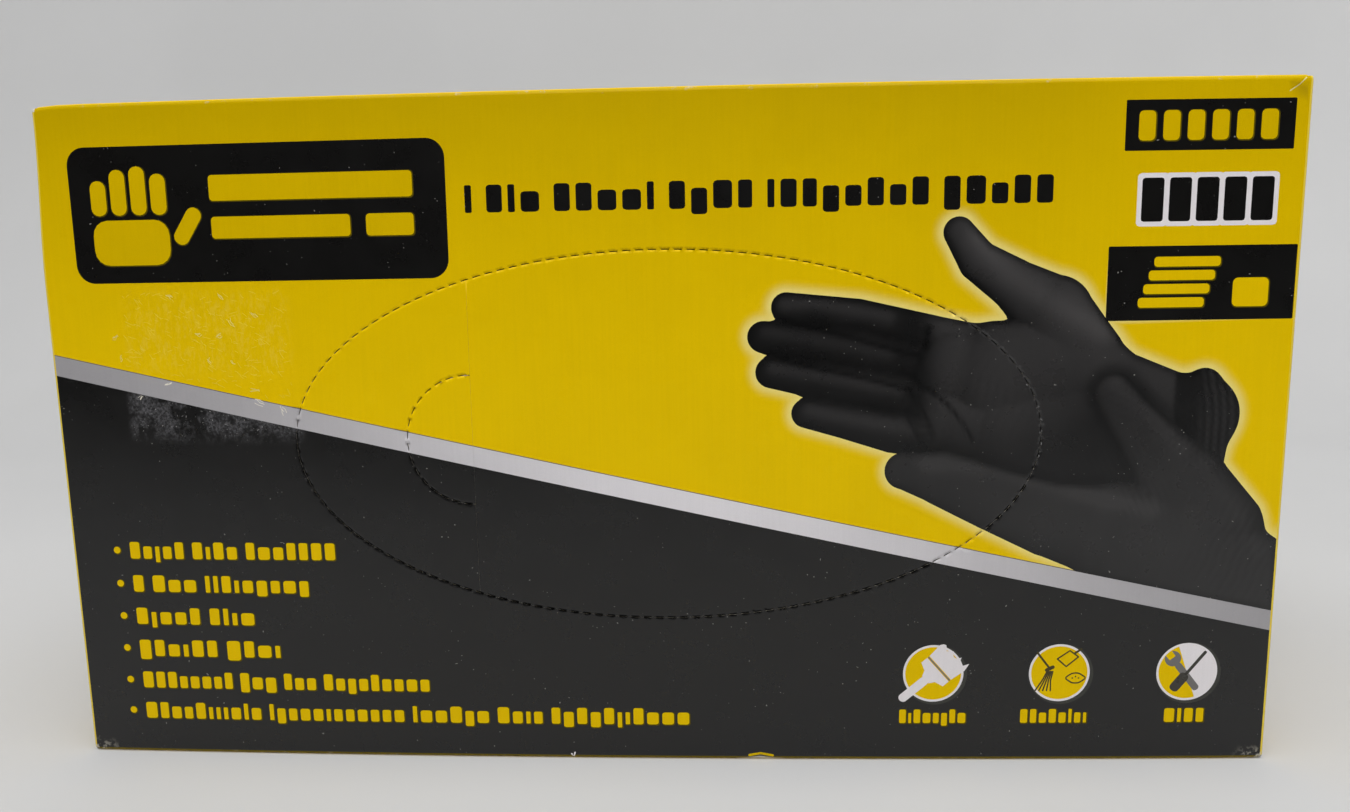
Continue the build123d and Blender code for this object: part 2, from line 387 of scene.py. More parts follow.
def flap_map(hinge, out, along, start=-QUARTER, end=0.0, last=None, bulge=0.0):
    """Map of a flap: u is the distance from its hinge line and v runs along the hinge.

    The flap leaves the hinge on an arc, from angle start to angle end, and goes on flat. If last is
    given, it curls again after that length of flat board.
    """
    hinge, out, along = (np.array(p, float) for p in (hinge, out, along))
    axis = np.cross(out, along)
    centre = hinge - END_R * (out * math.cos(start) + along * math.sin(start))
    turn = END_R * (end - start)

    def surface(u, v):
        angle = start + np.clip(u, 0, turn) / END_R
        flat = np.clip(u - turn, 0, last if last else None)
        o = END_R * np.cos(angle) - flat * math.sin(end)
        a = END_R * np.sin(angle) + flat * math.cos(end)
        if last:
            more = np.maximum(u - turn - last, 0) / END_R
            o = o - END_R * (1 - np.cos(more))
            a = a + END_R * np.sin(more)
            o = o + bulge * np.sin(np.pi * np.clip(flat / last, 0, 1)) * np.cos(np.pi * v / (2 * MID_Z)) ** 2
        return pressed(centre + np.outer(o, out) + np.outer(a, along) + np.outer(v, axis))

    return surface


# -------- printed sheets

def boundary_edges(faces):
    """Edges used by one triangle only, in that triangle's direction."""
    seen = {}
    for a, b, c in faces:
        for e in ((a, b), (b, c), (c, a)):
            seen[e] = seen.get(e, 0) + 1
    return [e for e in seen if (e[1], e[0]) not in seen]


def closed_faces(triangles, count):
    """Faces of a closed sheet whose back points follow its count front points, and its boundary edges."""
    rim = boundary_edges(triangles.tolist())
    front, back = triangles.tolist(), (triangles[:, ::-1] + count).tolist()
    return front + back + [(b, a, a + count, b + count) for a, b in rim], rim


def split(a, b, spacing=5.0):
    """Points from a to b, close enough together for the sheet to bend smoothly between them."""
    count = max(1, math.ceil(math.dist(a, b) / spacing))
    return [(a[0] + (b[0] - a[0]) * i / count, a[1] + (b[1] - a[1]) * i / count) for i in range(count + 1)]


def cut_sheet(width, tall, outlines, segments=(), points=(), spacing=5.0):
    """Triangles of a flat sheet, cut along every outline and segment. Returns (points, triangles)."""
    (u0, u1), (v0, v1) = width, tall
    coords, edges = [], []

    def add_line(line, closed):
        start = len(coords)
        coords.extend(Vector(p) for p in line)
        count = len(line)
        edges.extend((start + i, start + (i + 1) % count) for i in range(count if closed else count - 1))

    corners = [(u0, v0), (u1, v0), (u1, v1), (u0, v1)]
    border = []
    for i in range(4):
        border += split(corners[i], corners[(i + 1) % 4])[:-1]
    add_line(border, True)
    for loop in outlines:
        add_line(loop, True)
    for a, b in segments:
        add_line(split(a, b), False)
    columns = max(2, int((u1 - u0) / spacing))
    rows = max(2, int((v1 - v0) / spacing))
    for i in range(columns):
        for j in range(rows):
            shift = 0.25 if j % 2 else -0.25
            u, v = u0 + (u1 - u0) * (i + 0.5 + shift) / columns, v0 + (v1 - v0) * (j + 0.5) / rows
            coords.append(Vector((u, v)))
    coords.extend(Vector(p) for p in points)
    verts, _, faces, _, _, _ = delaunay_2d_cdt(coords, edges, [], 1, 1e-4)
    flat = np.array([(p.x, p.y) for p in verts])
    triangles = np.array([f for f in faces if len(f) == 3])
    centre = flat[triangles].mean(axis=1)
    keep = (centre[:, 0] > u0) & (centre[:, 0] < u1) & (centre[:, 1] > v0) & (centre[:, 1] < v1)
    return flat, triangles[keep]


def upright(low, high, places):
    """Segments that run in v at the given u."""
    return [((u, low), (u, high)) for u in places]


def level(low, high, places):
    """Segments that run in u at the given v."""
    return [((low, v), (high, v)) for v in places]


def arc_lines(half, radius):
    """Sheet distances, on both sides, at which the arcs of a panel's two folds are divided."""
    steps = [half - radius + radius * QUARTER * i / 3 for i in range(3)]
    return [-step for step in steps] + steps


def board_piece(name, flat, triangles, sheet_map, ink_of, materials, thickness=BOARD):
    """A closed solid of board from flat triangles: printed outside, raw inside and round its edges.

    ink_of(triangles, u, v) gives the colour at each corner of each triangle, as an (n, 3, 3) array.
    """
    used, inverse = np.unique(triangles, return_inverse=True)
    triangles = inverse.reshape(-1, 3)
    flat = flat[used]
    u, v = flat[:, 0], flat[:, 1]
    outer = sheet_map(u, v)
    step = 0.02
    along_u = sheet_map(u + step, v) - sheet_map(u - step, v)
    along_v = sheet_map(u, v + step) - sheet_map(u, v - step)
    normal = np.cross(along_u, along_v)
    normal /= np.linalg.norm(normal, axis=1)[:, None]
    inner = outer - normal * thickness
    count = len(outer)
    faces, rim = closed_faces(triangles, count)
    mesh = bpy.data.meshes.new(name)
    mesh.from_pydata((np.vstack([outer, inner]) * MM).tolist(), [], faces)
    for m in materials:
        mesh.materials.append(m)
    n = len(triangles)
    index = np.ones(len(faces), np.int32)
    index[:n] = 0
    mesh.polygons.foreach_set("material_index", index)
    colour = mesh.color_attributes.new("ink", "FLOAT_COLOR", "CORNER")
    values = np.ones((len(mesh.loops), 4), np.float32)
    corner_colours = ink_of(triangles, u, v)
    values[:3 * n, :3] = corner_colours.reshape(-1, 3)
    values[3 * n:, :3] = RAW_INK
    colour.data.foreach_set("color", values.ravel())
    mesh.update()
    loop_normals = np.zeros((len(mesh.loops), 3))
    loop_normals[:3 * n] = normal[triangles.ravel()]
    loop_normals[3 * n:6 * n] = -normal[triangles[:, ::-1].ravel()]
    for k, (a, b) in enumerate(rim):
        edge = outer[a] - outer[b]
        out = np.cross(normal[a], edge)
        length = np.linalg.norm(out)
        loop_normals[6 * n + 4 * k:6 * n + 4 * k + 4] = out / length if length > 1e-9 else normal[a]
    mesh.polygons.foreach_set("use_smooth", np.ones(len(faces), bool))
    mesh.normals_split_custom_set(loop_normals.tolist())
    piece = bpy.data.objects.new(name, mesh)
    bpy.context.scene.collection.objects.link(piece)
    return piece


# -------- inks

RAW_INK = linear(196, 190, 176)
YELLOW = linear(237, 198, 0)
TOP_SHADED_YELLOW = YELLOW * 0.84  # painted shade: yellow painted darker, for print near the face's top
# Painted highlight: the pale line of a small crease at the top right corner.
CREASE_HIGHLIGHT = linear(240, 226, 150)
BLACK = linear(14, 13, 12)
DULL = linear(0, 0, 0)  # where the cutting rule broke the gloss of the black
SILVER = linear(199, 196, 199)
SILVER_SHADE = linear(120, 112, 90)
WHITE = linear(238, 233, 235)
GOLD_EDGE = linear(92, 80, 12)
GREY_INK = linear(120, 118, 116)
BAND_LEFT, BAND_RIGHT = 83.6, 30.7  # heights of the band's upper edge at the two ends of the face
BAND_DEPTH = 4.0


def band_top(u):
    """Height of the silver band's upper edge."""
    return BAND_LEFT + (BAND_RIGHT - BAND_LEFT) * (u + HALF_X) / (2 * HALF_X)


def word(start, base, height, letters, rng, capital=False):
    """Stand-in for a printed word: a block for each letter. Returns (outlines, end)."""
    blocks = []
    u = start
    for i in range(letters):
        width = height * rng.choice((0.4, 0.46, 0.46, 0.54, 0.2))
        tall = rng.random()
        top = base + height * (1.0 if tall < 0.32 or (capital and i == 0) else 0.74)
        low = base - (height * 0.2 if tall > 0.88 else 0)
        blocks.append(rounded_box(u, low, u + width, top, min(width, height) * 0.22, 2))
        u += width + height * 0.17
    return blocks, u


def text_line(start, base, height, words, seed, capital=True):
    """Blocks that stand in for a line of words, whose letter counts are given."""
    rng = random.Random(seed)
    blocks = []
    u = start
    for letters in words:
        made, u = word(u, base, height, letters, rng, capital)
        blocks += made
        u += height * 0.26
    return blocks


def fitted_line(start, end, base, height, words, seed):
    """A text line stretched to end exactly at end."""
    blocks = text_line(start, base, height, words, seed)
    last = max(p[0] for b in blocks for p in b)
    k = (end - start) / (last - start)
    return [[(start + (u - start) * k, v) for u, v in b] for b in blocks]


def grown(points, amount):
    """An outline moved outwards from its own middle by about amount."""
    pts = np.array(points)
    middle = (pts.min(axis=0) + pts.max(axis=0)) / 2
    half = (pts.max(axis=0) - pts.min(axis=0)) / 2
    return [tuple(p) for p in middle + (pts - middle) * (1 + amount / half)]


def shifted(points, du, dv):
    return [(u + du, v + dv) for u, v in points]


def glowing(blocks, ink=None):
    """Yellow blocks on black, with the soft golden edge of the print round their lower right."""
    out = []
    for b in blocks:
        out.append((GOLD_EDGE, shifted(grown(b, 0.16), 0.1, -0.08)))
    for b in blocks:
        out.append((YELLOW if ink is None else ink, b))
    return out


def glove_sign(cu, cv, size):
    """Plain sign of an open hand, fingers up, as separate outlines for fingers, thumb and palm."""
    parts = []
    for offset, length in ((-0.33, 0.36), (-0.11, 0.47), (0.11, 0.5), (0.33, 0.42)):
        parts.append(rounded_box(offset - 0.085, 0.1, offset + 0.085, 0.1 + length, 0.08, 4))
    parts.append(rounded_box(-0.42, -0.42, 0.42, 0.05, 0.16, 4))
    parts.append(turned(rounded_box(-0.085, 0.0, 0.085, 0.42, 0.08, 4), -33, 0.51, -0.2))
    return [[(cu + u * size, cv + v * size) for u, v in p] for p in parts]


# The list on the black field: (height of the line's middle, its right end, letters in each word).
BULLET_LINES = (
    (43.7, -64.6, (5, 4, 7)),
    (36.7, -70.6, (1, 3, 9)),
    (29.8, -82.5, (5, 4)),
    (22.9, -77.6, (6, 4)),
    (16.0, -47.0, (8, 3, 3, 9)),
    (9.3, 5.7, (11, 12, 6, 4, 11)),
)


def face_art():
    """Everything printed on the dispensing face except the hands, with the yellow near the top darkened by
    painted shade: (ink, outline) in printing order.
    """
    art = []
    label = rounded_box(-112.6, 97.4, -38.6, 123.3, 3.6, 8)
    art.append((BLACK, label))
    # The label's yellow print is painted darker, as painted shade near the face's top.
    art += glowing(glove_sign(-100.8, 108.5, 18.3), TOP_SHADED_YELLOW)
    art += glowing([rounded_box(-84.6, 112.7, -45.0, 117.5, 0.7, 3)], TOP_SHADED_YELLOW)
    art += glowing([rounded_box(-84.6, 105.6, -57.3, 109.7, 0.7, 3)], TOP_SHADED_YELLOW)
    art += glowing([rounded_box(-54.2, 105.6, -45.0, 109.7, 0.7, 3)], TOP_SHADED_YELLOW)
    art += [(BLACK, b) for b in fitted_line(-35.1, 73.9, 109.4, 5.1, (1, 3, 5, 4, 8, 5), 5)]
    art.append((BLACK, rounded_box(86.5, 118.4, 117.0, 127.4, 0.15, 1)))
    digits = [rounded_box(88.9 + 4.4 * i, 120.2, 91.9 + 4.4 * i, 125.5, 0.8, 3) for i in range(6)]
    # The count's yellow digits are painted darker too, as painted shade near the top.
    art += glowing(digits, TOP_SHADED_YELLOW)
    size_blocks = [rounded_box(90.0 + 5.0 * i, 105.7, 94.0 + 5.0 * i, 113.6, 0.5, 2) for i in range(5)]
    art += [(WHITE, grown(b, 0.85)) for b in size_blocks]
    art += [(BLACK, b) for b in size_blocks]
    art.append((BLACK, rounded_box(84.4, 87.6, FACE_U - 0.75, 101.3, 0.15, 1)))
    for i in range(4):
        lean, base = 0.9 * i, 90.0 + 2.5 * i
        art += glowing([rounded_box(90.2 + lean, base, 102.4 + lean, base + 1.8, 0.6, 3)])
    art += glowing([rounded_box(107.6, 90.0, 114.2, 95.3, 0.9, 3)])
    for k, (middle, end, words) in enumerate(BULLET_LINES):
        art += glowing([disc(-110.3, middle, 0.72, 16)])
        art += glowing(fitted_line(-107.5, end, middle - 1.75, 3.5, words, 20 + k))
    art += icons()
    for patch in OVAL.dash_patches() + TAB.dash_patches():
        u, v = patch[1]
        on_near_hand = hand_field(NEAR_HAND, np.array([u]), np.array([v]))[0] < -0.5
        if v < band_top(u) - BAND_DEPTH - 0.5 or on_near_hand:
            art.append((DULL, patch))
    return art + chips()


# Larger scraps of paper fibre: (u, v, length, angle in degrees).
SCRAPS = (
    (-106.1, 86.9, 1.1, 10), (-105.4, 82.7, 0.9, 60), (-94.3, 94.8, 1.0, -25), (-84.2, 94.3, 1.3, -70),
    (-82.2, 89.4, 1.6, -62), (-77.7, 91.0, 1.4, -30), (-84.9, 86.9, 0.9, 20), (-88.9, 87.5, 0.9, -10),
    (-87.2, 81.9, 1.0, -60), (-82.5, 81.9, 0.8, -55), (-95.9, 77.5, 1.3, 20), (-78.3, 76.4, 1.8, -10),
    (-77.7, 73.8, 1.7, -48), (-73.0, 72.3, 1.3, -80), (-102.0, 75.0, 0.8, 30),
)


def chips():
    """Scraps of torn paper fibre left where a sticker was pulled off, a chip on the bottom edge, and a
    painted highlight, a short pale line standing for a small crease at the top right corner.
    """
    art = []
    rng = random.Random(3)
    for u, v, length, angle in SCRAPS:
        white = linear(236, 230, 214) if v < band_top(u) else linear(228, 208, 120)
        for _ in range(3):
            wide = rng.uniform(0.07, 0.15)
            bend = rng.uniform(-0.3, 0.3)
            line = [(-length / 2, 0), (0, bend), (length / 2, 0.1)]
            way = angle + rng.uniform(-25, 25)
            fibre = turned(line, way, u + rng.uniform(-0.3, 0.3), v + rng.uniform(-0.4, 0.4))
            art.append((white, stroke(fibre, wide)))
    for _ in range(230):
        u = -104.5 + 34 * rng.random()
        v = 70.5 + 25 * rng.random()
        if v > band_top(u) + 1:
            start, bend = -0.2 - 0.7 * rng.random(), rng.uniform(-0.15, 0.15)
            line = [(start, 0), (0, bend), (0.2 + 0.7 * rng.random(), 0)]
            art.append((linear(238, 208, 62), stroke(turned(line, rng.gauss(-25, 30), u, v), 0.08)))
    # Painted highlight standing for a small crease at the top right corner.
    art.append((CREASE_HIGHLIGHT, stroke([(115.6, 128.6), (117.3, 129.7), (118.4, 130.9)], 0.2)))
    art.append((WHITE, stroke([(-18.4, 1.0), (-18.0, 0.3), (-17.7, 1.3)], 0.35)))
    art.append((YELLOW, stroke([(17.8, 0.95), (20.0, 1.35), (22.4, 0.9)], 0.6)))
    art.append((BLACK, stroke([(19.2, 0.5), (20.3, 0.75), (21.0, 0.45)], 0.35)))
    return art


# -------- icons on the black field

ICON_Z = 18.5
ICON_R = 5.95
ICON_RIM = 0.45


def icon_disc(cu):
    glow = [(linear(70, 70, 66), disc(cu + 0.35, ICON_Z - 0.25, ICON_R + 0.35, 64))]
    return glow + [(WHITE, disc(cu, ICON_Z, ICON_R, 64)), (YELLOW, disc(cu, ICON_Z, ICON_R - ICON_RIM, 64))]


def brush_icon(cu):
    """A paint brush laid slantwise over its disc."""
    tilt = -49
    handle = turned(rounded_box(-0.9, -8.6, 0.9, -1.6, 0.85, 5), tilt, cu, ICON_Z)
    right = [(1.0, -2.0), (1.6, -0.9), (3.3, -0.3), (3.3, 1.2)]
    body = turned([(-1.0, -2.0)] + right + [(-u, v) for u, v in right[:0:-1]], tilt, cu, ICON_Z)
    line = turned(rounded_box(-3.3, 1.35, 3.3, 1.65, 0.1, 1), tilt, cu, ICON_Z)
    tips = [(-3.3, 1.8), (3.3, 1.8), (3.6, 5.0)]
    for i in range(7):
        tips += [(3.1 - i, 6.6 - 0.9 * (i % 2) - 0.15 * i), (2.6 - i, 5.4)]
    tips.append((-3.7, 4.8))
    bristles = turned(tips, tilt, cu, ICON_Z)
    return icon_disc(cu) + [(WHITE, handle), (WHITE, body), (GREY_INK, line), (WHITE, bristles)]


def mop_icon(cu):
    """Mop, dustpan and sponge in thin dark lines."""
    ink = linear(66, 58, 20)
    z = ICON_Z
    lines = [stroke([(cu - 4.4, z + 4.2), (cu - 1.9, z + 0.9)], 0.42)]
    lines.append(stroke([(cu - 2.5, z + 0.6), (cu - 1.3, z + 1.2)], 0.75))
    for i in range(5):
        reach = 0.75 * i
        strand = [(0.28 * i - 2.4, 0.3), (reach * 0.55 - 3.3, -1.6), (reach - 4.6, -3.7)]
        lines.append(stroke(shifted(strand, cu, z), 0.3))
    pan = [(cu - 0.5, z + 2.9), (cu + 1.3, z + 1.3), (cu + 3.6, z + 3.3), (cu + 1.9, z + 4.6)]
    lines += [stroke([pan[i], pan[(i + 1) % 4]], 0.3) for i in range(4)]
    lines.append(stroke([(cu + 2.8, z + 4.0), (cu + 4.1, z + 4.9)], 0.45))
    ring = []
    for a in np.linspace(0.1, 2 * math.pi - 0.1, 22):
        ring.append((1.7 * math.cos(a) * (1 + 0.12 * math.cos(4 * a)), 1.05 * math.sin(a)))
    lines.append(stroke(shifted(ring, cu + 3.2, z - 1.1), 0.3))
    lines += [disc(cu + 2.6 + 0.6 * i, z - 1.1 + 0.3 * (i % 2), 0.17, 8) for i in range(3)]
    return icon_disc(cu) + [(ink, b) for b in lines]


def wrench_icon(cu):
    """A spanner crossed with a screwdriver on a half white disc."""
    z = ICON_Z
    half = arc(cu, z, ICON_R - ICON_RIM, -1.25, 1.9, 30)
    jaw = arc(0, 4.0, 1.6, math.radians(-242), math.radians(62), 20) + [(0.7, 4.1), (-0.7, 4.1)]
    spanner_shank = rounded_box(-0.7, -4.2, 0.7, 2.7, 0.6, 4)
    driver_shank = rounded_box(-0.32, -0.4, 0.32, 5.6, 0.2, 2)
    driver_grip = rounded_box(-1.0, -4.6, 1.0, -0.3, 0.8, 4)
    art = icon_disc(cu) + [(WHITE, half)]
    art += [(GREY_INK, turned(b, 38, cu - 0.4, z - 0.4)) for b in (jaw, spanner_shank)]
    art += [(linear(60, 58, 52), turned(b, -38, cu + 0.1, z - 0.2)) for b in (driver_shank, driver_grip)]
    return art


def icons():
    art = brush_icon(54.1) + mop_icon(78.8) + wrench_icon(103.7)
    for start, end, words in ((47.6, 60.7, (8,)), (71.5, 84.5, (8,)), (99.8, 107.5, (4,))):
        art += glowing(fitted_line(start, end, 8.0, 2.9, words, int(start)))
    return art


# -------- the printed gloved hands

# Each limb is a chain of (u, v, radius): fingers from the tip to the palm.
OPEN_HAND = (
    ((25.0, 91.0, 2.8), (38.5, 89.5, 2.9), (52.2, 85.9, 3.3), (63.0, 81.8, 5.0)),
    ((20.7, 85.5, 3.0), (29.6, 84.3, 3.5), (38.9, 83.0, 3.5), (51.2, 79.8, 3.6), (61.0, 76.8, 5.0)),
    ((22.2, 78.8, 3.0), (30.1, 77.4, 3.5), (39.9, 75.6, 3.6), (51.1, 73.5, 4.0), (61.0, 71.9, 5.0)),
    ((28.8, 70.9, 2.8), (36.4, 69.2, 3.3), (45.2, 66.9, 3.8), (55.0, 66.5, 5.0)),
    ((56.9, 104.3, 2.9), (60.6, 99.0, 3.8), (66.9, 94.9, 4.7), (75.0, 89.1, 7.2), (78.9, 80.8, 9.0)),
    ((57.1, 78.3, 8.6), (65.0, 76.8, 11.2), (78.9, 78.3, 9.6), (86.8, 74.3, 7.8), (96.8, 70.4, 7.6),
     (102.9, 69.6, 7.6)),
    ((55.1, 70.0, 8.0), (66.9, 67.0, 11.0), (82.8, 66.9, 11.0), (98.8, 66.8, 8.0)),
    ((78.0, 65.0, 10.0), (92.0, 61.0, 6.0)),
    ((103.5, 75.2, 3.4), (104.9, 70.5, 4.2), (104.2, 61.3, 4.0)),
)
NEAR_HAND = (
    ((47.4, 59.6, 3.6), (55.0, 58.0, 5.4), (64.8, 53.8, 6.2), (75.7, 49.6, 7.3), (88.7, 46.6, 9.6)),
    ((86.7, 74.1, 3.9), (90.0, 69.5, 4.5), (95.6, 62.7, 6.0), (101.3, 55.3, 8.6), (106.4, 46.6, 10.4)),
    ((88.7, 46.6, 10.2), (102.8, 40.6, 12.9), (121.0, 27.5, 14.0)),
)
# Dark lines of the open hand: between the fingers, where the forefinger meets the palm, and across the palm.
HAND_LINES = (
    (0.55, ((25.2, 88.3), (34.6, 86.0), (41.3, 83.9), (50.5, 81.4))),
    (0.55, ((21.9, 82.0), (27.9, 80.1), (38.0, 77.9), (48.5, 75.2))),
    (0.50, ((28.3, 73.9), (34.7, 73.2), (41.4, 72.1), (50.0, 70.4))),
    (0.80, ((51.6, 86.6), (51.2, 82.9))),
    (0.40, ((46.7, 79.2), (52.1, 75.1), (55.5, 72.3), (58.3, 68.9), (60.4, 65.4))),
    (0.35, ((48.1, 75.1), (50.9, 71.0), (53.0, 66.2))),
)
# Bright ridges of each hand, as (strength, width, line).
OPEN_RIDGES = (
    (0.030, 2.6, ((60.5, 103.0), (66.0, 96.5), (74.0, 91.5), (84.0, 86.0))),
    (0.022, 1.5, ((24.0, 91.5), (30.0, 91.8), (44.0, 89.0))),
    (0.012, 1.3, ((21.5, 86.5), (30.0, 84.9), (44.0, 82.0))),
    (0.020, 1.4, ((22.5, 79.5), (32.0, 77.9), (46.0, 75.2))),
    (0.022, 1.6, ((29.5, 71.3), (38.0, 69.5), (50.0, 67.6))),
)
NEAR_RIDGES = (
    (0.020, 1.7, ((52.0, 61.0), (64.0, 60.2), (76.0, 56.6), (86.0, 53.4), (95.0, 51.5))),
    (0.016, 1.9, ((87.5, 75.8), (93.5, 70.5), (100.0, 63.5))),
    (0.008, 1.6, ((104.0, 60.0), (111.0, 51.5), (116.0, 43.0))),
)
CUFF_START = 97.5


def limb_field(limb, u, v):
    """Distance outside a limb (negative inside) and its rounded height at the points."""
    best = np.full(len(u), 1e9)
    height = np.zeros(len(u))
    for (ax, ay, ar), (bx, by, br) in zip(limb[:-1], limb[1:]):
        dx, dy = bx - ax, by - ay
        t = np.clip(((u - ax) * dx + (v - ay) * dy) / (dx * dx + dy * dy), 0, 1)
        radius = ar + (br - ar) * t
        reach = np.hypot(u - ax - dx * t, v - ay - dy * t)
        distance = reach - radius
        best = np.minimum(best, distance)
        height = np.maximum(height, np.sqrt(np.maximum(radius ** 2 - reach ** 2, 0)))
    return best, height


def hand_field(limbs, u, v):
    """Distance outside the hand, softly joined between its limbs and cut off by the silver band."""
    total = np.zeros(len(u))
    for limb in limbs:
        total += np.exp(-np.clip(limb_field(limb, u, v)[0], -30, 30) / 0.45)
    joined = -0.45 * np.log(np.maximum(total, 1e-30))
    return np.maximum(joined, np.maximum((band_top(u) - v) * 0.97, u - (HALF_X - 0.35)))


def hand_height(limbs, u, v):
    heights = np.stack([limb_field(limb, u, v)[1] for limb in limbs])
    return heights.max(axis=0)


# Fans of creases in the printed hands: (u, v, size, direction, spacing, depth).
WRINKLE_FANS = (
    (50.0, 72.0, 9.0, 0.35, 1.5, 0.9), (92.5, 55.5, 12.0, 1.9, 1.35, 0.8),
    (66.0, 74.0, 8.0, 1.2, 1.9, 0.6), (104.5, 69.0, 9.0, 1.55, 1.15, 1.3),
    (113.0, 44.0, 11.0, 1.1, 1.7, 0.7), (88.5, 72.0, 5.0, 0.5, 1.2, 0.35),
    (36.0, 68.0, 7.0, 0.4, 1.6, 0.4), (38.0, 76.0, 7.0, 0.5, 1.7, 0.35),
)


def wrinkles(u, v):
    """Fine creases of thin rubber: ridged waves at the finger roots, the thumb and the cuff."""
    total = np.zeros(len(u))
    for cu, cv, size, angle, wave, depth in WRINKLE_FANS:
        du, dv = u - cu, v - cv
        across = -du * math.sin(angle) + dv * math.cos(angle)
        along = du * math.cos(angle) + dv * math.sin(angle)
        bend = across + 0.06 * along ** 2 / size + 0.35 * np.sin(along * 0.7 + cu)
        ridge = np.abs(np.sin(bend * math.pi / wave)) ** 0.7
        total += depth * (ridge - 0.6) * np.exp(-(du ** 2 + dv ** 2) / size ** 2)
    return total


def line_distance(line, u, v):
    return limb_field([(*p, 0.0) for p in line], u, v)[0]


def hand_shade(limbs, u, v, near):
    """Ink of a printed hand: soft light from the upper right, or from the upper left for the near hand."""
    step = 0.35

    def height(a, b):
        return hand_height(limbs, a, b) * 0.55 + 0.34 * wrinkles(a, b)

    slope_u = (height(u + step, v) - height(u - step, v)) / (2 * step)
    slope_v = (height(u, v + step) - height(u, v - step)) / (2 * step)
    light_u, light_v, light_out = (-0.30, 0.42, 0.86) if near else (0.34, 0.30, 0.89)
    length = np.sqrt(slope_u ** 2 + slope_v ** 2 + 1)
    lit = np.clip((light_out - slope_u * light_u - slope_v * light_v) / length, 0, 1)
    edge = smoothstep(0.0, 1.4, -hand_field(limbs, u, v))
    if near:
        tone = 0.003 + 0.019 * lit ** 2 * (0.4 + 0.6 * edge)
    else:
        palm = smoothstep(49.0, 55.0, u)
        hollow = np.exp(-((u - 86) / 13) ** 2 - ((v - 68) / 9) ** 2)
        tone = 0.0015 + (0.006 + 0.031 * palm) * lit ** 2 * (0.4 + 0.6 * edge) * (1 - 0.75 * hollow)
        tone *= 1 - 0.6 * smoothstep(72, 61, v) * palm
    for strength, wide, line in NEAR_RIDGES if near else OPEN_RIDGES:
        tone += strength * np.exp(-(line_distance(line, u, v) / wide) ** 2) * lit ** 2 * edge
    if not near:
        for wide, line in HAND_LINES:
            tone *= 1 - 0.85 * np.exp(-(line_distance(line, u, v) / wide) ** 2)
        tone *= 1 - 0.6 * smoothstep(3.0, 0.0, hand_field(NEAR_HAND, u, v))
        on_cuff = smoothstep(CUFF_START, CUFF_START + 1.0, u)
        fold = np.abs(np.sin((u + 0.10 * (v - 70) + 0.4 * np.sin(v / 3)) * math.pi / 1.5)) ** 3
        tone = tone * (1 - 0.8 * on_cuff) + on_cuff * fold * 0.016 * smoothstep(101.5, 105.0, u)
    tone = np.maximum(tone, 0.001)
    return np.stack([tone * 1.03, tone * 0.98, tone * 0.98], axis=-1)


def contour(field, low_u, high_u, low_v, high_v, step):
    """Segments of the line where the field crosses zero."""
    us = np.arange(low_u, high_u + step, step)
    vs = np.arange(low_v, high_v + step, step)
    grid_u, grid_v = np.meshgrid(us, vs)
    value = field(grid_u.ravel(), grid_v.ravel()).reshape(grid_u.shape)
    value[value == 0] = 1e-9
    segments = []
    sign = value > 0
    mixed = (sign[:-1, :-1].astype(int) + sign[1:, :-1] + sign[:-1, 1:] + sign[1:, 1:]) % 4
    for j, i in zip(*np.nonzero(mixed)):
        corners = ((i, j), (i + 1, j), (i + 1, j + 1), (i, j + 1))
        hits = []
        for (ia, ja), (ib, jb) in zip(corners, corners[1:] + corners[:1]):
            fa, fb = value[ja, ia], value[jb, ib]
            if (fa > 0) != (fb > 0):
                t = fa / (fa - fb)
                hits.append((us[ia] + (us[ib] - us[ia]) * t, vs[ja] + (vs[jb] - vs[ja]) * t))
        segments += [(hits[k], hits[k + 1]) for k in range(0, len(hits) - 1, 2)]
    return segments


# -------- inks at the corners of triangles

def painted(art, field_ink):
    """A function for board_piece: field_ink(u, v, centre_u, centre_v) under the outlines of art."""

    def ink_of(triangles, u, v):
        cu, cv = u[triangles].mean(axis=1), v[triangles].mean(axis=1)
        colours = field_ink(u[triangles], v[triangles], cu, cv)
        for ink, outline in art:
            colours[inside(outline, cu, cv)] = ink
        return colours

    return ink_of


TOP_SHADE, TOP_SHADE_START = 6.4e-5, 61  # painted shade: the yellow is painted darker with the square of the height above the start height
SHEEN_HIGHLIGHT_MIDDLE, SHEEN_HIGHLIGHT_WIDTH = 8, 74  # painted highlight: middle and width of the bright sheen painted on the silver band
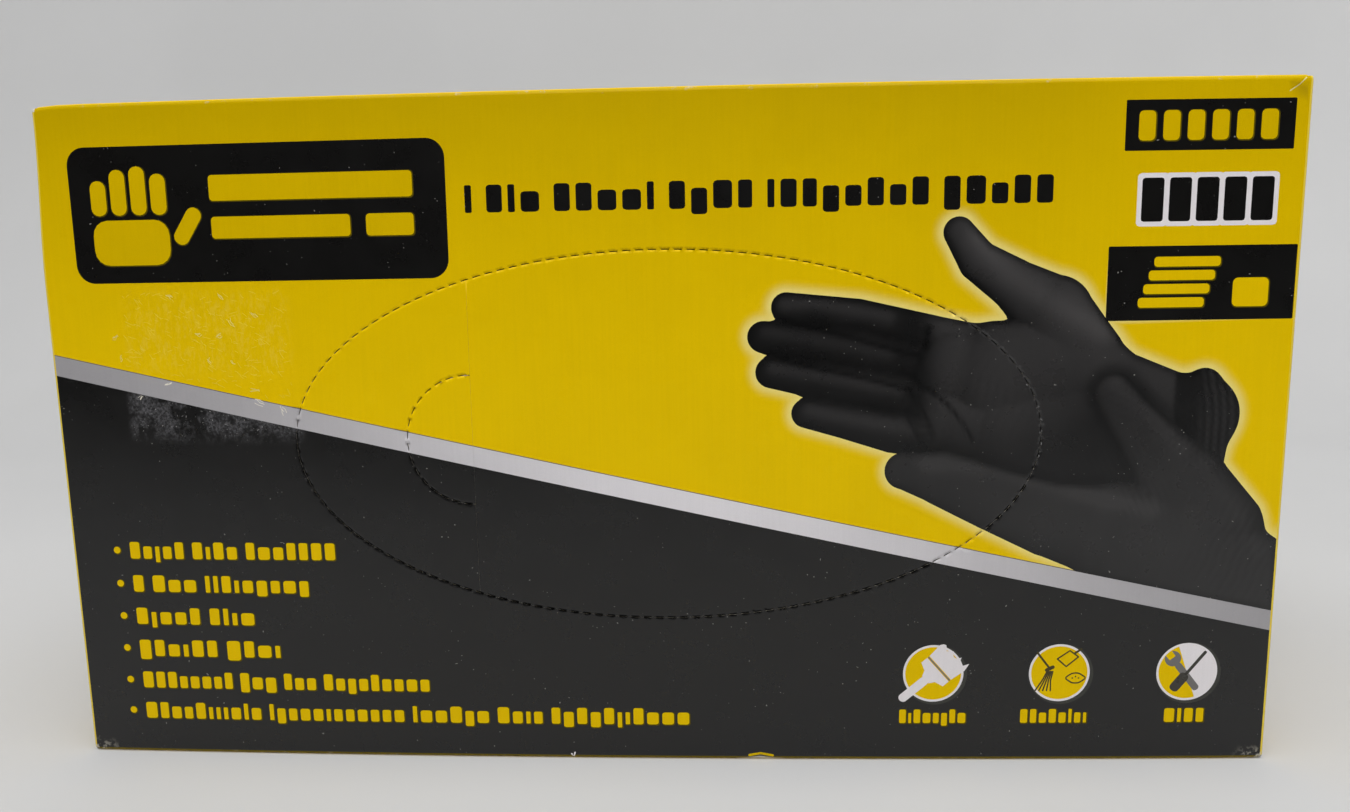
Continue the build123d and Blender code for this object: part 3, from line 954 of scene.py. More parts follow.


def face_field(u, v, cu, cv):
    """The dispensing face's ground: yellow above the silver band, black below it, and the hands. Painted
    shade darkens the yellow towards the top.
    """
    colours = np.empty(u.shape + (3,))
    flat_u, flat_v = u.ravel(), v.ravel()
    from_hands = np.minimum(hand_field(OPEN_HAND, flat_u, flat_v), hand_field(NEAR_HAND, flat_u, flat_v))
    halo = 0.85 * (1 - smoothstep(0.0, 2.6, from_hands.reshape(u.shape))) ** 1.8
    # Painted shade: the yellow is painted darker towards the face's top, a little less at its right end.
    fade = 1.03 - TOP_SHADE * np.maximum(v - TOP_SHADE_START, 0) ** 2 * (1 - 0.3 * smoothstep(60, 110, u))
    yellow = YELLOW * ((1 - halo) * fade)[..., None] + linear(246, 230, 140) * halo[..., None]
    colours[:] = yellow
    top = band_top(cu)
    low = top - BAND_DEPTH
    colours[cv < top + 0.16] = SILVER_SHADE
    # Painted highlight: the silver band is painted brighter in its middle, as a broad sheen, and duller
    # towards both ends.
    painted_sheen = 0.6 + 0.8 * np.exp(-((u - SHEEN_HIGHLIGHT_MIDDLE) / SHEEN_HIGHLIGHT_WIDTH) ** 2)
    colours[cv < top] = (SILVER * painted_sheen[..., None])[cv < top]
    colours[cv < low] = BLACK
    for limbs, near in ((OPEN_HAND, False), (NEAR_HAND, True)):
        within = hand_field(limbs, cu, cv) < 0
        colours[within] = hand_shade(limbs, u[within].ravel(), v[within].ravel(), near).reshape(-1, 3, 3)
    # Painted highlight on the lip below each dash and painted shade above it; on the black, a few triangles
    # of the lit lip also get painted glints.
    rng = np.random.default_rng(7)
    lip = (OVAL.lip(flat_u, flat_v) + TAB.lip(flat_u, flat_v)).reshape(u.shape)
    on_black = (cv < low)[:, None]
    painted_glints = rng.random(len(cu))[:, None] < 0.12
    lit, shaded = np.clip(lip, 0, 1), np.clip(lip, -1, 0)
    painted_lip_light = np.where(on_black, 1 + 0.5 * shaded, 1 + 0.35 * lit + 0.45 * shaded)
    colours *= painted_lip_light[..., None]
    colours += (lit * np.where(on_black, painted_glints * 0.10, 0.02))[..., None]
    # The yellow that laps round the folds is painted lighter at both ends of the face as a painted
    # highlight, and dark olive along the bottom fold as painted shade.
    painted_fold_light = (np.abs(cu) > HALF_X - MARGIN) | (cv < MARGIN)
    colours[painted_fold_light] = linear(240, 212, 70)
    colours[cv < MARGIN] = linear(112, 96, 10)
    raw_corner = (cu + HALF_X < 1.3) & (HEIGHT - cv < 1.6) & ((cu + HALF_X) + (HEIGHT - cv) * 0.7 < 1.7)
    colours[raw_corner] = linear(222, 218, 208)
    return colours


def score_notch(sign):
    """The two corners where the thumb tab's cut meets the score line; sign +1 is the segment's side."""
    u = SCORE_LINE - HALF_SEAM
    reach = TAB_R + sign * SLIT_HALF
    return [(u, OVAL_Z - reach), (u, OVAL_Z + reach)]


def hand_lines():
    """Outlines of the printed hands, and points inside and round them that are close enough for shading."""
    segments = []
    for limbs in (OPEN_HAND, NEAR_HAND):
        def field(u, v, limbs=limbs):
            return hand_field(limbs, u, v)

        segments += contour(field, 14.1, 121.3, 28.1, 109.9, 0.62)
    step = 0.72
    rows, columns = np.meshgrid(np.arange(29.3, 110, step), np.arange(14.3, HALF_X, step), indexing="ij")
    u = (columns + 0.5 * step * (np.arange(rows.shape[0]) % 2)[:, None]).ravel()
    v = rows.ravel()
    near = np.minimum(hand_field(OPEN_HAND, u, v), hand_field(NEAR_HAND, u, v))
    keep = (near < 3.4) & (np.abs(near) > 0.3) & (v > band_top(u) + 0.4) & (u < HALF_X - 1.4)
    return segments, list(zip(u[keep], v[keep]))


def oval_reach(u):
    """How far above and below its middle the oval reaches at u."""
    return OVAL_B * math.sqrt(1 - ((u - OVAL_X) / OVAL_A) ** 2)


def face_sheet():
    """Cuts the whole face at once and shares it out between the panel and the tear-out pieces."""
    art = face_art()
    hole, oval = OVAL.edge(+1), OVAL.edge(-1)
    tab_hole, tab = TAB.edge(+1) + score_notch(+1), TAB.edge(-1) + score_notch(-1)
    low, high = MID_Z - FACE_V, MID_Z + FACE_V
    reach = oval_reach(SCORE_LINE)
    seam = (SCORE_LINE - HALF_SEAM, SCORE_LINE + HALF_SEAM)
    segments = upright(OVAL_Z - reach - 0.4, OVAL_Z + reach + 0.4, seam)
    segments += upright(OVAL_Z - reach + 1, OVAL_Z + reach - 1, (SCORE_LINE - 0.35, SCORE_LINE + 0.35))
    for step in (0.9, 1.9, 3.0, 4.1, 5.2):
        tab_reach = math.sqrt(TAB_R ** 2 - step ** 2)
        place = SCORE_LINE - HALF_SEAM - step
        reach = oval_reach(place) - 2
        segments += upright(OVAL_Z - reach, OVAL_Z - tab_reach - 1, [place])
        segments += upright(OVAL_Z - tab_reach + 1, OVAL_Z + tab_reach - 1, [place])
        segments += upright(OVAL_Z + tab_reach + 1, OVAL_Z + reach, [place])
    cut_reach = oval_reach(CREASE_X)
    for low_v, high_v in ((2, OVAL_Z - cut_reach - 1), (1 + OVAL_Z - cut_reach, OVAL_Z + cut_reach - 1),
                          (1 + OVAL_Z + cut_reach, HEIGHT - 2)):
        segments += upright(low_v, high_v, (CREASE_X - 0.5, CREASE_X, CREASE_X + 0.5))
    segments += upright(low, high, arc_lines(HALF_X, END_R) + [HALF_X - MARGIN, MARGIN - HALF_X])
    segments += level(-FACE_U, FACE_U, [MID_Z + step for step in arc_lines(MID_Z, TUBE_R)] + [MARGIN])
    for offset in (0.17, 0.0, -BAND_DEPTH):
        segments.append(((-FACE_U, band_top(-FACE_U) + offset), (FACE_U, band_top(FACE_U) + offset)))
    hand_segments, points = hand_lines()
    for offset in (0.3, -0.3, 0.62, -0.62):
        points += [OVAL.offset_point(s, offset) for s in np.arange(0, OVAL.along[-1], 0.8)]
        points += [TAB.offset_point(s, offset) for s in np.arange(0, TAB.along[-1], 0.8)]
    outlines = [hole, oval, tab_hole, tab] + [outline for _, outline in art]
    flat, triangles = cut_sheet((-FACE_U, FACE_U), (low, high), outlines, segments + hand_segments, points)
    cu, cv = flat[triangles, 0].mean(axis=1), flat[triangles, 1].mean(axis=1)
    in_hole = inside(oval, cu, cv)
    left = cu < SCORE_LINE - HALF_SEAM
    parts = {
        "front_panel": ~inside(hole, cu, cv),
        "tear_out_oval": in_hole & (cu > SCORE_LINE + HALF_SEAM),
        "thumb_tab": left & inside(tab, cu, cv),
        "pull_segment": in_hole & left & ~inside(tab_hole, cu, cv),
    }
    return flat, triangles, parts, painted(art, face_field)


# -------- print on the other sides

def plain_field(u, v, cu, cv):
    return np.broadcast_to(YELLOW, u.shape + (3,)).copy()


def greek_block(u0, u1, top, size, lines, seed):
    """Several lines of stand-in text, ragged at the right."""
    rng = random.Random(seed)
    blocks = []
    for i in range(lines):
        words = [rng.randint(2, 9) for _ in range(12)]
        line = text_line(u0, top - size - i * size * 1.7, size, words, seed + i)
        end = u0 + (u1 - u0) * rng.uniform(0.72, 1.0)
        blocks += [b for b in line if max(p[0] for p in b) < end]
    return blocks


def back_art():
    """Back of the carton: a black panel with a sign and lines of text, and tables of small print."""
    art = [(BLACK, rounded_box(-104, 66, 104, 118, 4, 8))]
    art += glowing(glove_sign(-78, 90, 30))
    art += glowing([rounded_box(-50, 96, 30, 106, 1.2, 4), rounded_box(-50, 84, -4, 90, 1.0, 4)])
    art += glowing([disc(50 + 19 * i, 92, 7.0, 48) for i in range(3)])
    art += [(BLACK, b) for b in greek_block(-104, -40, 56, 2.6, 8, 41)]
    art += [(BLACK, b) for b in greek_block(-30, 34, 56, 2.6, 8, 61)]
    art += [(BLACK, rounded_box(48, 24, 104, 54, 2, 5)), (WHITE, rounded_box(51, 27, 101, 51, 1, 3))]
    art += [(BLACK, b) for b in greek_block(54, 98, 48, 2.2, 5, 81)]
    return art


def top_art():
    art = [(BLACK, rounded_box(-108, -16, -30, 16, 3.6, 8))]
    art += glowing(glove_sign(-94, 0, 18))
    art += glowing([rounded_box(-80, 3, -36, 9, 0.8, 3), rounded_box(-80, -8, -50, -3, 0.8, 3)])
    art += [(BLACK, b) for b in fitted_line(-22, 84, -2.5, 5.0, (1, 3, 5, 4, 8, 5), 5)]
    art += [(BLACK, rounded_box(92, -12, 108, 12, 1.0, 3))]
    art += glowing([rounded_box(95, -8.5 + 6 * i, 105, -4.5 + 6 * i, 0.8, 3) for i in range(3)])
    return art


def bottom_art():
    art = [(BLACK, b) for b in greek_block(-60, 60, 12, 3.0, 4, 101)]
    return art + [(GREY_INK, disc(-96, 0, 4.0, 32)), (YELLOW, disc(-96, 0, 3.4, 32))]


def end_art(mirror):
    """End panel: its u runs back from the dispensing face and its v is measured from mid-height."""
    art = [(BLACK, rounded_box(8, 12, 60, 52, 3, 6))]
    art += glowing(glove_sign(34, 34, 22))
    art += glowing([rounded_box(16, 15.5, 52, 19.5, 0.8, 3)])
    art += [(BLACK, rounded_box(12, -2, 56, 7, 0.8, 3))]
    art += glowing([rounded_box(15.5 + 6.6 * i, 0.2, 19.9 + 6.6 * i, 4.8, 0.9, 3) for i in range(6)])
    for k in range(4):
        art += [(BLACK, b) for b in fitted_line(12, 56 - 7 * (k % 3), -10 - 6 * k, 3.0, (5, 4, 7), 120 + k)]
    art += [(WHITE, rounded_box(12, -54, 56, -36, 0.6, 2))]
    return [(ink, [(u, v * mirror) for u, v in outline][::mirror]) for ink, outline in art]


# -------- materials

class Surface:
    """A node material, built up a node at a time. Patterns sit in the carton's own coordinates."""

    def __init__(self, name):
        self.material = bpy.data.materials.new(name)
        self.material.use_nodes = True
        self.tree = self.material.node_tree
        self.shader = self.tree.nodes["Principled BSDF"]
        self.place = self.tree.nodes.new("ShaderNodeTexCoord").outputs["Object"]

    def put(self, socket, value):
        if isinstance(value, bpy.types.NodeSocket):
            self.tree.links.new(value, socket)
        else:
            socket.default_value = value

    def maths(self, operation, a, b=0.0):
        node = self.tree.nodes.new("ShaderNodeMath")
        node.operation = operation
        self.put(node.inputs[0], a)
        self.put(node.inputs[1], b)
        return node.outputs[0]

    def product(self, *values):
        total = values[0]
        for value in values[1:]:
            total = self.maths("MULTIPLY", total, value)
        return total

    def step(self, value, low, high, to_low=0.0, to_high=1.0):
        node = self.tree.nodes.new("ShaderNodeMapRange")
        node.interpolation_type = "SMOOTHSTEP"
        for socket, number in zip(node.inputs, (value, low, high, to_low, to_high)):
            self.put(socket, number)
        return node.outputs[0]

    def noise(self, size, detail=3.0, roughness=0.55, stretch=(1, 1, 1), turn=0.0):
        """Noise whose features are about size millimetres across, stretched and turned about Y."""
        mapping = self.tree.nodes.new("ShaderNodeMapping")
        self.put(mapping.inputs["Vector"], self.place)
        mapping.inputs["Rotation"].default_value = (0, turn, 0)
        mapping.inputs["Scale"].default_value = tuple(1 / (size * MM * k) for k in stretch)
        node = self.tree.nodes.new("ShaderNodeTexNoise")
        self.put(node.inputs["Vector"], mapping.outputs[0])
        node.inputs["Scale"].default_value = 1.0
        node.inputs["Detail"].default_value = detail
        node.inputs["Roughness"].default_value = roughness
        return node.outputs[0]

    def axis(self, letter):
        """The object coordinate along X, Y or Z, in millimetres."""
        node = self.tree.nodes.new("ShaderNodeSeparateXYZ")
        self.put(node.inputs[0], self.place)
        return self.maths("MULTIPLY", node.outputs[letter], 1 / MM)

    def within(self, value, low, high, soft):
        rise = self.step(value, low - soft, low + soft)
        return self.maths("MULTIPLY", rise, self.step(value, high - soft, high + soft, 1.0, 0.0))

    def blend(self, amount, a, b, mode="MIX"):
        node = self.tree.nodes.new("ShaderNodeMix")
        node.data_type = "RGBA"
        node.blend_type = mode
        self.put(node.inputs["Factor"], amount)
        for socket, value in zip((node.inputs[6], node.inputs[7]), (a, b)):
            self.put(socket, value if isinstance(value, bpy.types.NodeSocket) else (*value, 1.0))
        return node.outputs[2]

    def grey(self, value):
        node = self.tree.nodes.new("ShaderNodeCombineColor")
        for socket in node.inputs:
            self.put(socket, value)
        return node.outputs[0]

    def luminance(self, colour):
        node = self.tree.nodes.new("ShaderNodeRGBToBW")
        self.put(node.inputs[0], colour)
        return node.outputs[0]

    def ink(self):
        node = self.tree.nodes.new("ShaderNodeVertexColor")
        node.layer_name = "ink"
        return node.outputs["Color"]

    def finish(self, colour, roughness, gloss, *bumps):
        """bumps are (height, depth in millimetres)."""
        self.put(self.shader.inputs["Base Color"], colour)
        self.put(self.shader.inputs["Roughness"], roughness)
        self.put(self.shader.inputs["Specular IOR Level"], gloss)
        normal = None
        for height, depth in bumps:
            node = self.tree.nodes.new("ShaderNodeBump")
            node.inputs["Distance"].default_value = depth * MM
            self.put(node.inputs["Height"], height)
            if normal:
                self.put(node.inputs["Normal"], normal)
            normal = node.outputs[0]
        if normal:
            self.put(self.shader.inputs["Normal"], normal)
        return self.material


def printed_board():
    """Coated board, printed: fine streaks down the sheet, worn folds, specks of dust and tape marks."""
    m = Surface("printed_board")
    ink = m.ink()
    streaks = m.noise(0.5, 2.0, 0.6, (1, 1, 60))
    mottle = m.noise(14.0, 4.0)
    grain = m.noise(0.18, 2.0)
    tone = m.maths("ADD", m.step(streaks, 0.25, 0.75, 0.988, 1.012), m.step(mottle, 0.3, 0.7, -0.015, 0.015))
    tone = m.maths("ADD", tone, m.step(grain, 0.3, 0.7, -0.018, 0.018))
    colour = m.blend(1.0, ink, m.grey(tone), "MULTIPLY")
    x, y, z = m.axis("X"), m.axis("Y"), m.axis("Z")
    side = m.maths("ABSOLUTE", x)
    half = m.maths("ABSOLUTE", m.maths("SUBTRACT", z, MID_Z))
    folds = [m.step(value, size - 0.9, size - 0.1) for value, size in
             ((side, HALF_X), (m.maths("ABSOLUTE", y), HALF_Y), (half, MID_Z))]
    edges = [m.product(folds[i], folds[i - 1]) for i in range(3)]
    near_fold = m.maths("MAXIMUM", edges[0], m.maths("MAXIMUM", edges[1], edges[2]))
    low_corner = m.product(m.step(side, HALF_X - 7, HALF_X - 1), m.step(z, 3.4, 0.6))
    low_corner = m.product(low_corner, m.step(m.noise(1.1, 3.0, 0.6), 0.48, 0.60), 0.7)
    rubbed = m.product(near_fold, m.step(m.noise(2.2, 4.0, 0.7), 0.60, 0.70), 0.6)
    worn = m.maths("MAXIMUM", rubbed, low_corner)
    colour = m.blend(worn, colour, tuple(linear(206, 200, 184)))
    front = m.step(y, -HALF_Y + 3, -HALF_Y + 1)
    tape = m.product(front, m.within(x, -104.3, -69.5, 1.2), m.within(z, 67.0, 79.0, 2.0))
    smear = m.product(tape, m.step(m.noise(5.0, 4.0, 0.7), 0.40, 0.56))
    smear = m.product(smear, m.step(m.noise(0.5, 3.0, 0.7), 0.3, 0.72))
    dark = m.step(m.luminance(ink), 0.06, 0.03)
    colour = m.blend(m.product(smear, dark, 0.85), colour, tuple(linear(96, 95, 98)))
    flecks = m.product(tape, m.step(m.noise(0.45, 2.0, 0.8), 0.66, 0.74), dark)
    colour = m.blend(m.maths("MULTIPLY", flecks, 0.8), colour, tuple(linear(190, 188, 186)))
    film = m.product(front, m.within(x, -103.5, -71.0, 2.0), m.within(z, 80.0, 95.0, 3.0))
    strands = m.step(m.noise(1.1, 6.0, 0.8, (1, 1, 2.5), 0.5), 0.46, 0.62)
    film = m.product(film, m.step(dark, 0.5, 0.0), strands)
    colour = m.blend(m.maths("MULTIPLY", film, 0.12), colour, tuple(linear(244, 222, 110)))
    dust = m.product(front, m.step(m.noise(0.42, 0.0), 0.845, 0.89), dark)
    colour = m.blend(m.maths("MULTIPLY", dust, 0.55), colour, tuple(linear(180, 178, 172)))
    rough = m.step(m.noise(9.0, 5.0, 0.6), 0.3, 0.7, 0.26, 0.32)
    rough = m.maths("ADD", rough, m.maths("MULTIPLY", smear, 0.3))
    live = m.step(m.luminance(ink), 0.0002, 0.0008)
    gloss = m.maths("ADD", 0.05, m.product(dark, m.step(live, 0.0, 1.0, 0.10, 0.42)))
    waves, dimples = m.noise(34.0, 3.0), m.noise(2.4, 4.0, 0.6)
    return m.finish(colour, rough, gloss, (waves, 0.22), (dimples, 0.005), (grain, 0.004))


def raw_board():
    """Unprinted side of the board: grey-white, faintly mottled with fibres."""
    m = Surface("raw_board")
    fibres = m.noise(0.7, 5.0, 0.75, (5, 1, 1))
    tone = m.step(fibres, 0.3, 0.7, 0.93, 1.05)
    tone = m.maths("ADD", tone, m.step(m.noise(12.0, 3.0), 0.3, 0.7, -0.04, 0.04))
    specks = m.step(m.noise(0.5, 1.0, 0.5), 0.70, 0.76)
    colour = m.blend(1.0, m.ink(), m.grey(tone), "MULTIPLY")
    colour = m.blend(m.maths("MULTIPLY", specks, 0.35), colour, tuple(linear(120, 108, 88)))
    return m.finish(colour, 0.88, 0.2, (fibres, 0.02))


def nitrile():
    """Thin black rubber film with a fine textured grip."""
    m = Surface("nitrile")
    tone = m.step(m.noise(7.0, 4.0, 0.6), 0.3, 0.7, 0.020, 0.034)
    colour = m.grey(tone)
    rough = m.step(m.noise(3.0, 3.0), 0.3, 0.7, 0.36, 0.52)
    return m.finish(colour, rough, 0.45, (m.noise(1.1, 3.0, 0.6), 0.05), (m.noise(0.25, 1.0), 0.012))


def adhesive():
    m = Surface("adhesive")
    tone = m.step(m.noise(3.0, 4.0), 0.3, 0.7, 0.85, 1.05)
    colour = m.blend(1.0, tuple(linear(206, 196, 160)), m.grey(tone), "MULTIPLY")
    return m.finish(colour, 0.5, 0.4, (m.noise(1.5, 3.0), 0.05))


PRINTED = printed_board()
RAW = raw_board()
NITRILE = nitrile()
ADHESIVE = adhesive()


def build_face():
    flat, triangles, parts, ink_of = face_sheet()
    for node, keep in parts.items():
        piece = board_piece(node + "_board", flat, triangles[keep], face_map, ink_of, (PRINTED, RAW))
        if node == "front_panel":
            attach(piece, "carton")
        else:
            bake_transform(piece)
        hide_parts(node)


build_face()


def build_board(node, body, width, tall, sheet_map, art, segments, outline=None):
    """One printed board of the carton besides the face."""
    outlines = [o for _, o in art] + ([outline] if outline else [])
    flat, triangles = cut_sheet(width, tall, outlines, segments)
    if outline:
        cu, cv = flat[triangles, 0].mean(axis=1), flat[triangles, 1].mean(axis=1)
        triangles = triangles[inside(outline, cu, cv)]
    ink_of = painted(art, plain_field)
    piece = board_piece(node + "_board", flat, triangles, sheet_map, ink_of, (PRINTED, RAW))
    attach(piece, body)
    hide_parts(node)


def build_tube():
    """The rest of the carton's tube: back, top and bottom panels and the glue flap."""
    tube_folds = arc_lines(MID_Z, TUBE_R)
    low = MID_Z - FACE_V
    build_board("back_panel", "carton", (-HALF_X, HALF_X), (low, BACK_TOP), back_map, back_art(),
                level(-HALF_X, HALF_X, [MID_Z + step for step in tube_folds[:3]]))
    ends = upright(-TOP_HALF, TOP_HALF, arc_lines(SLEEVE_END, END_R))
    top_v = wrap_end(TOP_HALF, TUBE_R)
    build_board("top_panel", "carton", (-SLEEVE_U, SLEEVE_U), (-top_v, top_v), top_map, top_art(),
                ends + level(-SLEEVE_U, SLEEVE_U, arc_lines(TOP_HALF, TUBE_R)))
    bottom_v = wrap_end(HALF_Y, TUBE_R)
    build_board("bottom_panel", "carton", (-SLEEVE_U, SLEEVE_U), (-bottom_v, bottom_v), bottom_map,
                bottom_art(), ends + level(-SLEEVE_U, SLEEVE_U, arc_lines(HALF_Y, TUBE_R)))
    flap_low, flap_high = box_mm("glue_flap")
    width, tall = (float(flap_low[0]), float(flap_high[0])), (float(flap_low[2]), MID_Z + FACE_V)
    build_board("glue_flap", "carton", width, tall, glue_flap_map, [],
                level(*width, [MID_Z + step for step in tube_folds[3:]]))


def joint_place(name):
    joint = next(j for j in frame["record"]["behaviour"]["joints"] if j["name"] == name)
    return np.array(joint["pos_m"]) / MM


TUCK_LEAN = 10  # degrees by which a tuck flap leans in from square
TUCK_LENGTH = 15
CLOSURE_BULGE = 0.8


def build_end(end, side):
    """Closure with its tuck flap, and the two dust flaps under it, at one end."""
    out = (side, 0, 0)
    low, high = box_mm(f"{end}_closure")
    half = float(high[2] - low[2]) / 2
    hinge, tuck_hinge = joint_place(f"{end}_closure_fold"), joint_place(f"{end}_tuck_fold")
    turn = END_R * QUARTER
    last = float(tuck_hinge[1] - hinge[1]) - 2 * END_R * math.sin(QUARTER)
    folds = [turn * i / 3 for i in (1, 2, 3)] + [turn + last + turn * i / 3 for i in (0, 1, 2)]
    closure_map = flap_map(hinge, out, (0, 1, 0), last=last, bulge=CLOSURE_BULGE)
    build_board(f"{end}_closure", f"{end}_closure", (0, 2 * turn + last), (-half, half), closure_map,
                end_art(int(side)), upright(-half, half, folds))
    low, high = box_mm(f"{end}_tuck_flap")
    half = float(high[2] - low[2]) / 2
    finish = math.radians(90 + TUCK_LEAN)
    turn = END_R * (finish - QUARTER)
    tongue = rounded_box(-9, -half, TUCK_LENGTH, half, 9, 8)
    folds = [turn * i / 4 for i in (1, 2, 3, 4)]
    tuck_map = flap_map(tuck_hinge, out, (0, 1, 0), start=QUARTER, end=finish)
    build_board(f"{end}_tuck_flap", f"{end}_tuck_flap", (0, TUCK_LENGTH), (-half, half), tuck_map, [],
                upright(-half, half, folds), tongue)
    for flap, up in (("upper", 1), ("lower", -1)):
        node = f"{end}_{flap}_dust_flap"
        low, high = box_mm(node)
        hinge = joint_place(f"{end}_{flap}_dust_fold")
        length = float(high[2] - low[2]) - BOARD / 2
        front, back = float(low[1]), float(high[1])
        way = side * up  # the sheet's v runs along +Y or -Y
        shape = [(-0.1, front), (-0.1, back), (length * 0.93, back - 0.093 * length),
                 (length, back - 0.1 * length - 3), (length, front + 0.85 * length + 3),
                 (length * 0.95, front + 0.85 * length * 0.95)]
        shape = [(u, v * way) for u, v in shape][::int(way)]
        turn = END_R * QUARTER
        build_board(node, node, (0, length), (-HALF_Y, HALF_Y), flap_map(hinge, out, (0, 0, -up)), [],
                    upright(-HALF_Y, HALF_Y, [turn * i / 3 for i in (1, 2, 3)]), shape)


build_tube()
for end, side in (("left", -1.0), ("right", 1.0)):
    build_end(end, side)


# -------- gloves

GLOVE = (
    ((-114, -46, 1.5), (-114, 46, 1.5)),
    ((-95, 0, 47.5), (-40, 0, 47.5)),
    ((-20, 10, 41.0), (-2, 0, 50.0), (20, 0, 47.0)),
    ((20, -39.5, 13), (79, -39.5, 13)),
    ((20, -13.2, 13), (95, -13.2, 13)),
    ((20, 13.2, 13), (102, 13.2, 13)),
    ((20, 39.5, 13), (95, 39.5, 13)),
    ((-37, 37.5, 15), (24, 53.0, 14)),
)


def glove_field(u, v):
    """Distance outside a flattened glove, cut square at the cuff."""
    distance = np.stack([limb_field(limb, u, v)[0] for limb in GLOVE]).min(axis=0)
    return np.maximum(distance, -114.5 - u)


def glove_pattern(spacing):
    """Flat triangles of a glove's outline, about spacing millimetres apart."""
    segments = contour(glove_field, -118.3, 118, -57.3, 71, spacing * 0.8)
    points = [(u, v) for u in np.arange(-112, 116, spacing) for v in np.arange(-54, 70, spacing)]
    field = glove_field(np.array([p[0] for p in points]), np.array([p[1] for p in points]))
    points = [p for p, f in zip(points, field) if f < -1.6]
    coords, edges = [], []
    for a, b in segments:
        edges.append((len(coords), len(coords) + 1))
        coords += [Vector(a), Vector(b)]
    coords += [Vector(p) for p in points]
    verts, _, faces, _, _, _ = delaunay_2d_cdt(coords, edges, [], 1, 1e-3)
    flat = np.array([(q.x, q.y) for q in verts])
    triangles = np.array([f for f in faces if len(f) == 3])
    middle = flat[triangles].mean(axis=1)
    return flat, triangles[glove_field(middle[:, 0], middle[:, 1]) < 0.2]


def solid_sheet(flat, triangles, place, thickness):
    """Vertices and faces of a closed film: place(u, v) is its middle surface, and it is thick along Y."""
    faces, rim = closed_faces(triangles, len(flat))
    on_rim = np.zeros(len(flat), bool)
    on_rim[[a for a, _ in rim]] = True
    half = np.where(on_rim, 0.3, 0.5) * thickness
    middle = place(flat[:, 0], flat[:, 1])
    front, back = middle.copy(), middle.copy()
    front[:, 1] -= half
    back[:, 1] += half
    return np.vstack([front, back]), faces


def mesh_piece(name, verts, faces, material):
    mesh = bpy.data.meshes.new(name)
    mesh.from_pydata((np.asarray(verts) * MM).tolist(), [], faces)
    mesh.polygons.foreach_set("use_smooth", np.ones(len(faces), bool))
    mesh.materials.append(material)
    mesh.update()
    piece = bpy.data.objects.new(name, mesh)
    bpy.context.scene.collection.objects.link(piece)
    return piece


STACK_FRONT, STACK_BACK = -20.0, 30.4
GLOVE_PITCH = (STACK_BACK - STACK_FRONT) / 49
STACK_MID = 57.5  # height of the middle of every second glove; the others are the other way up
FILM_HALF = 0.18  # half the thickness of a pressed glove


def stacked_glove(pattern, number):
    """Glove number as pressed in the stack: nearly flat, with its own soft waves and creases."""
    flat, triangles = pattern
    turn = -1 if number % 2 else 1
    middle = HEIGHT - STACK_MID if number % 2 else STACK_MID
    y = STACK_FRONT + (number - 2) * GLOVE_PITCH + FILM_HALF
    loose = 1 - 0.75 * (number - 2) / 48

    def place(u, v):
        x, z = turn * u, middle + turn * v
        shared = 0.7 * np.sin(x / 11 + 1.4 * np.sin(z / 17)) * np.cos(z / 26)
        shared += 0.5 * np.sin((z + 0.5 * x) / 6.5 + 2 * np.sin(x / 37))
        shared -= 1.1 * np.exp(-((z - 66 - 9 * np.sin(x / 31)) / 1.8) ** 2)
        shared -= 0.9 * np.exp(-((x - 0.6 * z + 22) / 2.1) ** 2)
        waves = loose * shared + 0.13 * np.sin(u / 17 + number * 1.7) * np.cos(v / 13 + number)
        waves += 0.08 * np.sin((u * 0.7 + v) / 6.3 + number * 2.3)
        fold = 0.10 * np.cos(np.clip((v + 6 * np.sin(u / 30 + number)) / 3.0, -1.5, 1.5))
        return np.stack([x, y + waves + fold - 0.05, z], axis=1)

    return solid_sheet(flat, triangles, place, 2 * FILM_HALF)


def build_stack():
    pattern = glove_pattern(4.2)
    groups = [(f"glove_{n:02d}", [n]) for n in range(2, 11)]
    groups += [(f"gloves_{n}_to_{n + 9}", range(n, n + 10)) for n in range(11, 51, 10)]
    for node, numbers in groups:
        verts, faces = [], []
        for number in numbers:
            more, triangles = stacked_glove(pattern, number)
            faces += [tuple(i + len(verts) for i in face) for face in triangles]
            verts += more.tolist()
        piece = mesh_piece(node + "_film", verts, faces, NITRILE)
        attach(piece, "carton")
        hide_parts(node)


def build_first_glove():
    """The first glove, gathered across its width. Its lower edge stays in the carton when it is drawn."""
    low, high = box_mm("glove_01")
    mid, half = (low + high) / 2, (high - low) / 2
    flat, triangles = glove_pattern(2.1)
    reach, spread = np.ptp(flat, axis=0) / 2

    def place(u, v):
        """The cuff is at the left. Pleats run along the glove and fade towards the finger tips."""
        drift = 5.0 * np.sin(u / 33 + 0.7) + 2.5 * np.sin(u / 14)
        wave = 2 * math.pi / 15.5
        pleat = np.sin((v + drift) * wave) + 0.45 * np.sin((v * 1.7 - drift) * wave + u / 19)
        tuck = 0.5 * np.sin(u / 5.2 + v / 21) + 0.35 * np.sin(u / 8.7 - v / 13)
        deep = 0.62 * half[1] * (0.55 + 0.45 * smoothstep(112, 60, np.abs(u)))
        waist = 1 - 0.22 * np.exp(-((u + 62) / 26) ** 2)
        x = mid[0] + u * (half[0] - 3.5) / reach + 1.6 * np.sin(v / 9 + u / 25)
        z = mid[2] + (v - 6) * (half[2] - 3.0) / spread * waist + 1.3 * np.sin(u / 16)
        return np.stack([x, mid[1] + deep * np.clip(0.62 * pleat + tuck * 0.5, -1.1, 1.1), z], axis=1)

    verts, faces = solid_sheet(flat, triangles, place, 0.7)
    piece = mesh_piece("first_glove_film", verts, faces, NITRILE)
    relax_film(piece)
    keep_within(piece, low, high)
    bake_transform(piece)
    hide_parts("glove_01")


SLACK = 1.6  # the furthest a point of the film may move as it settles, mm
FILM_STEPS = 16


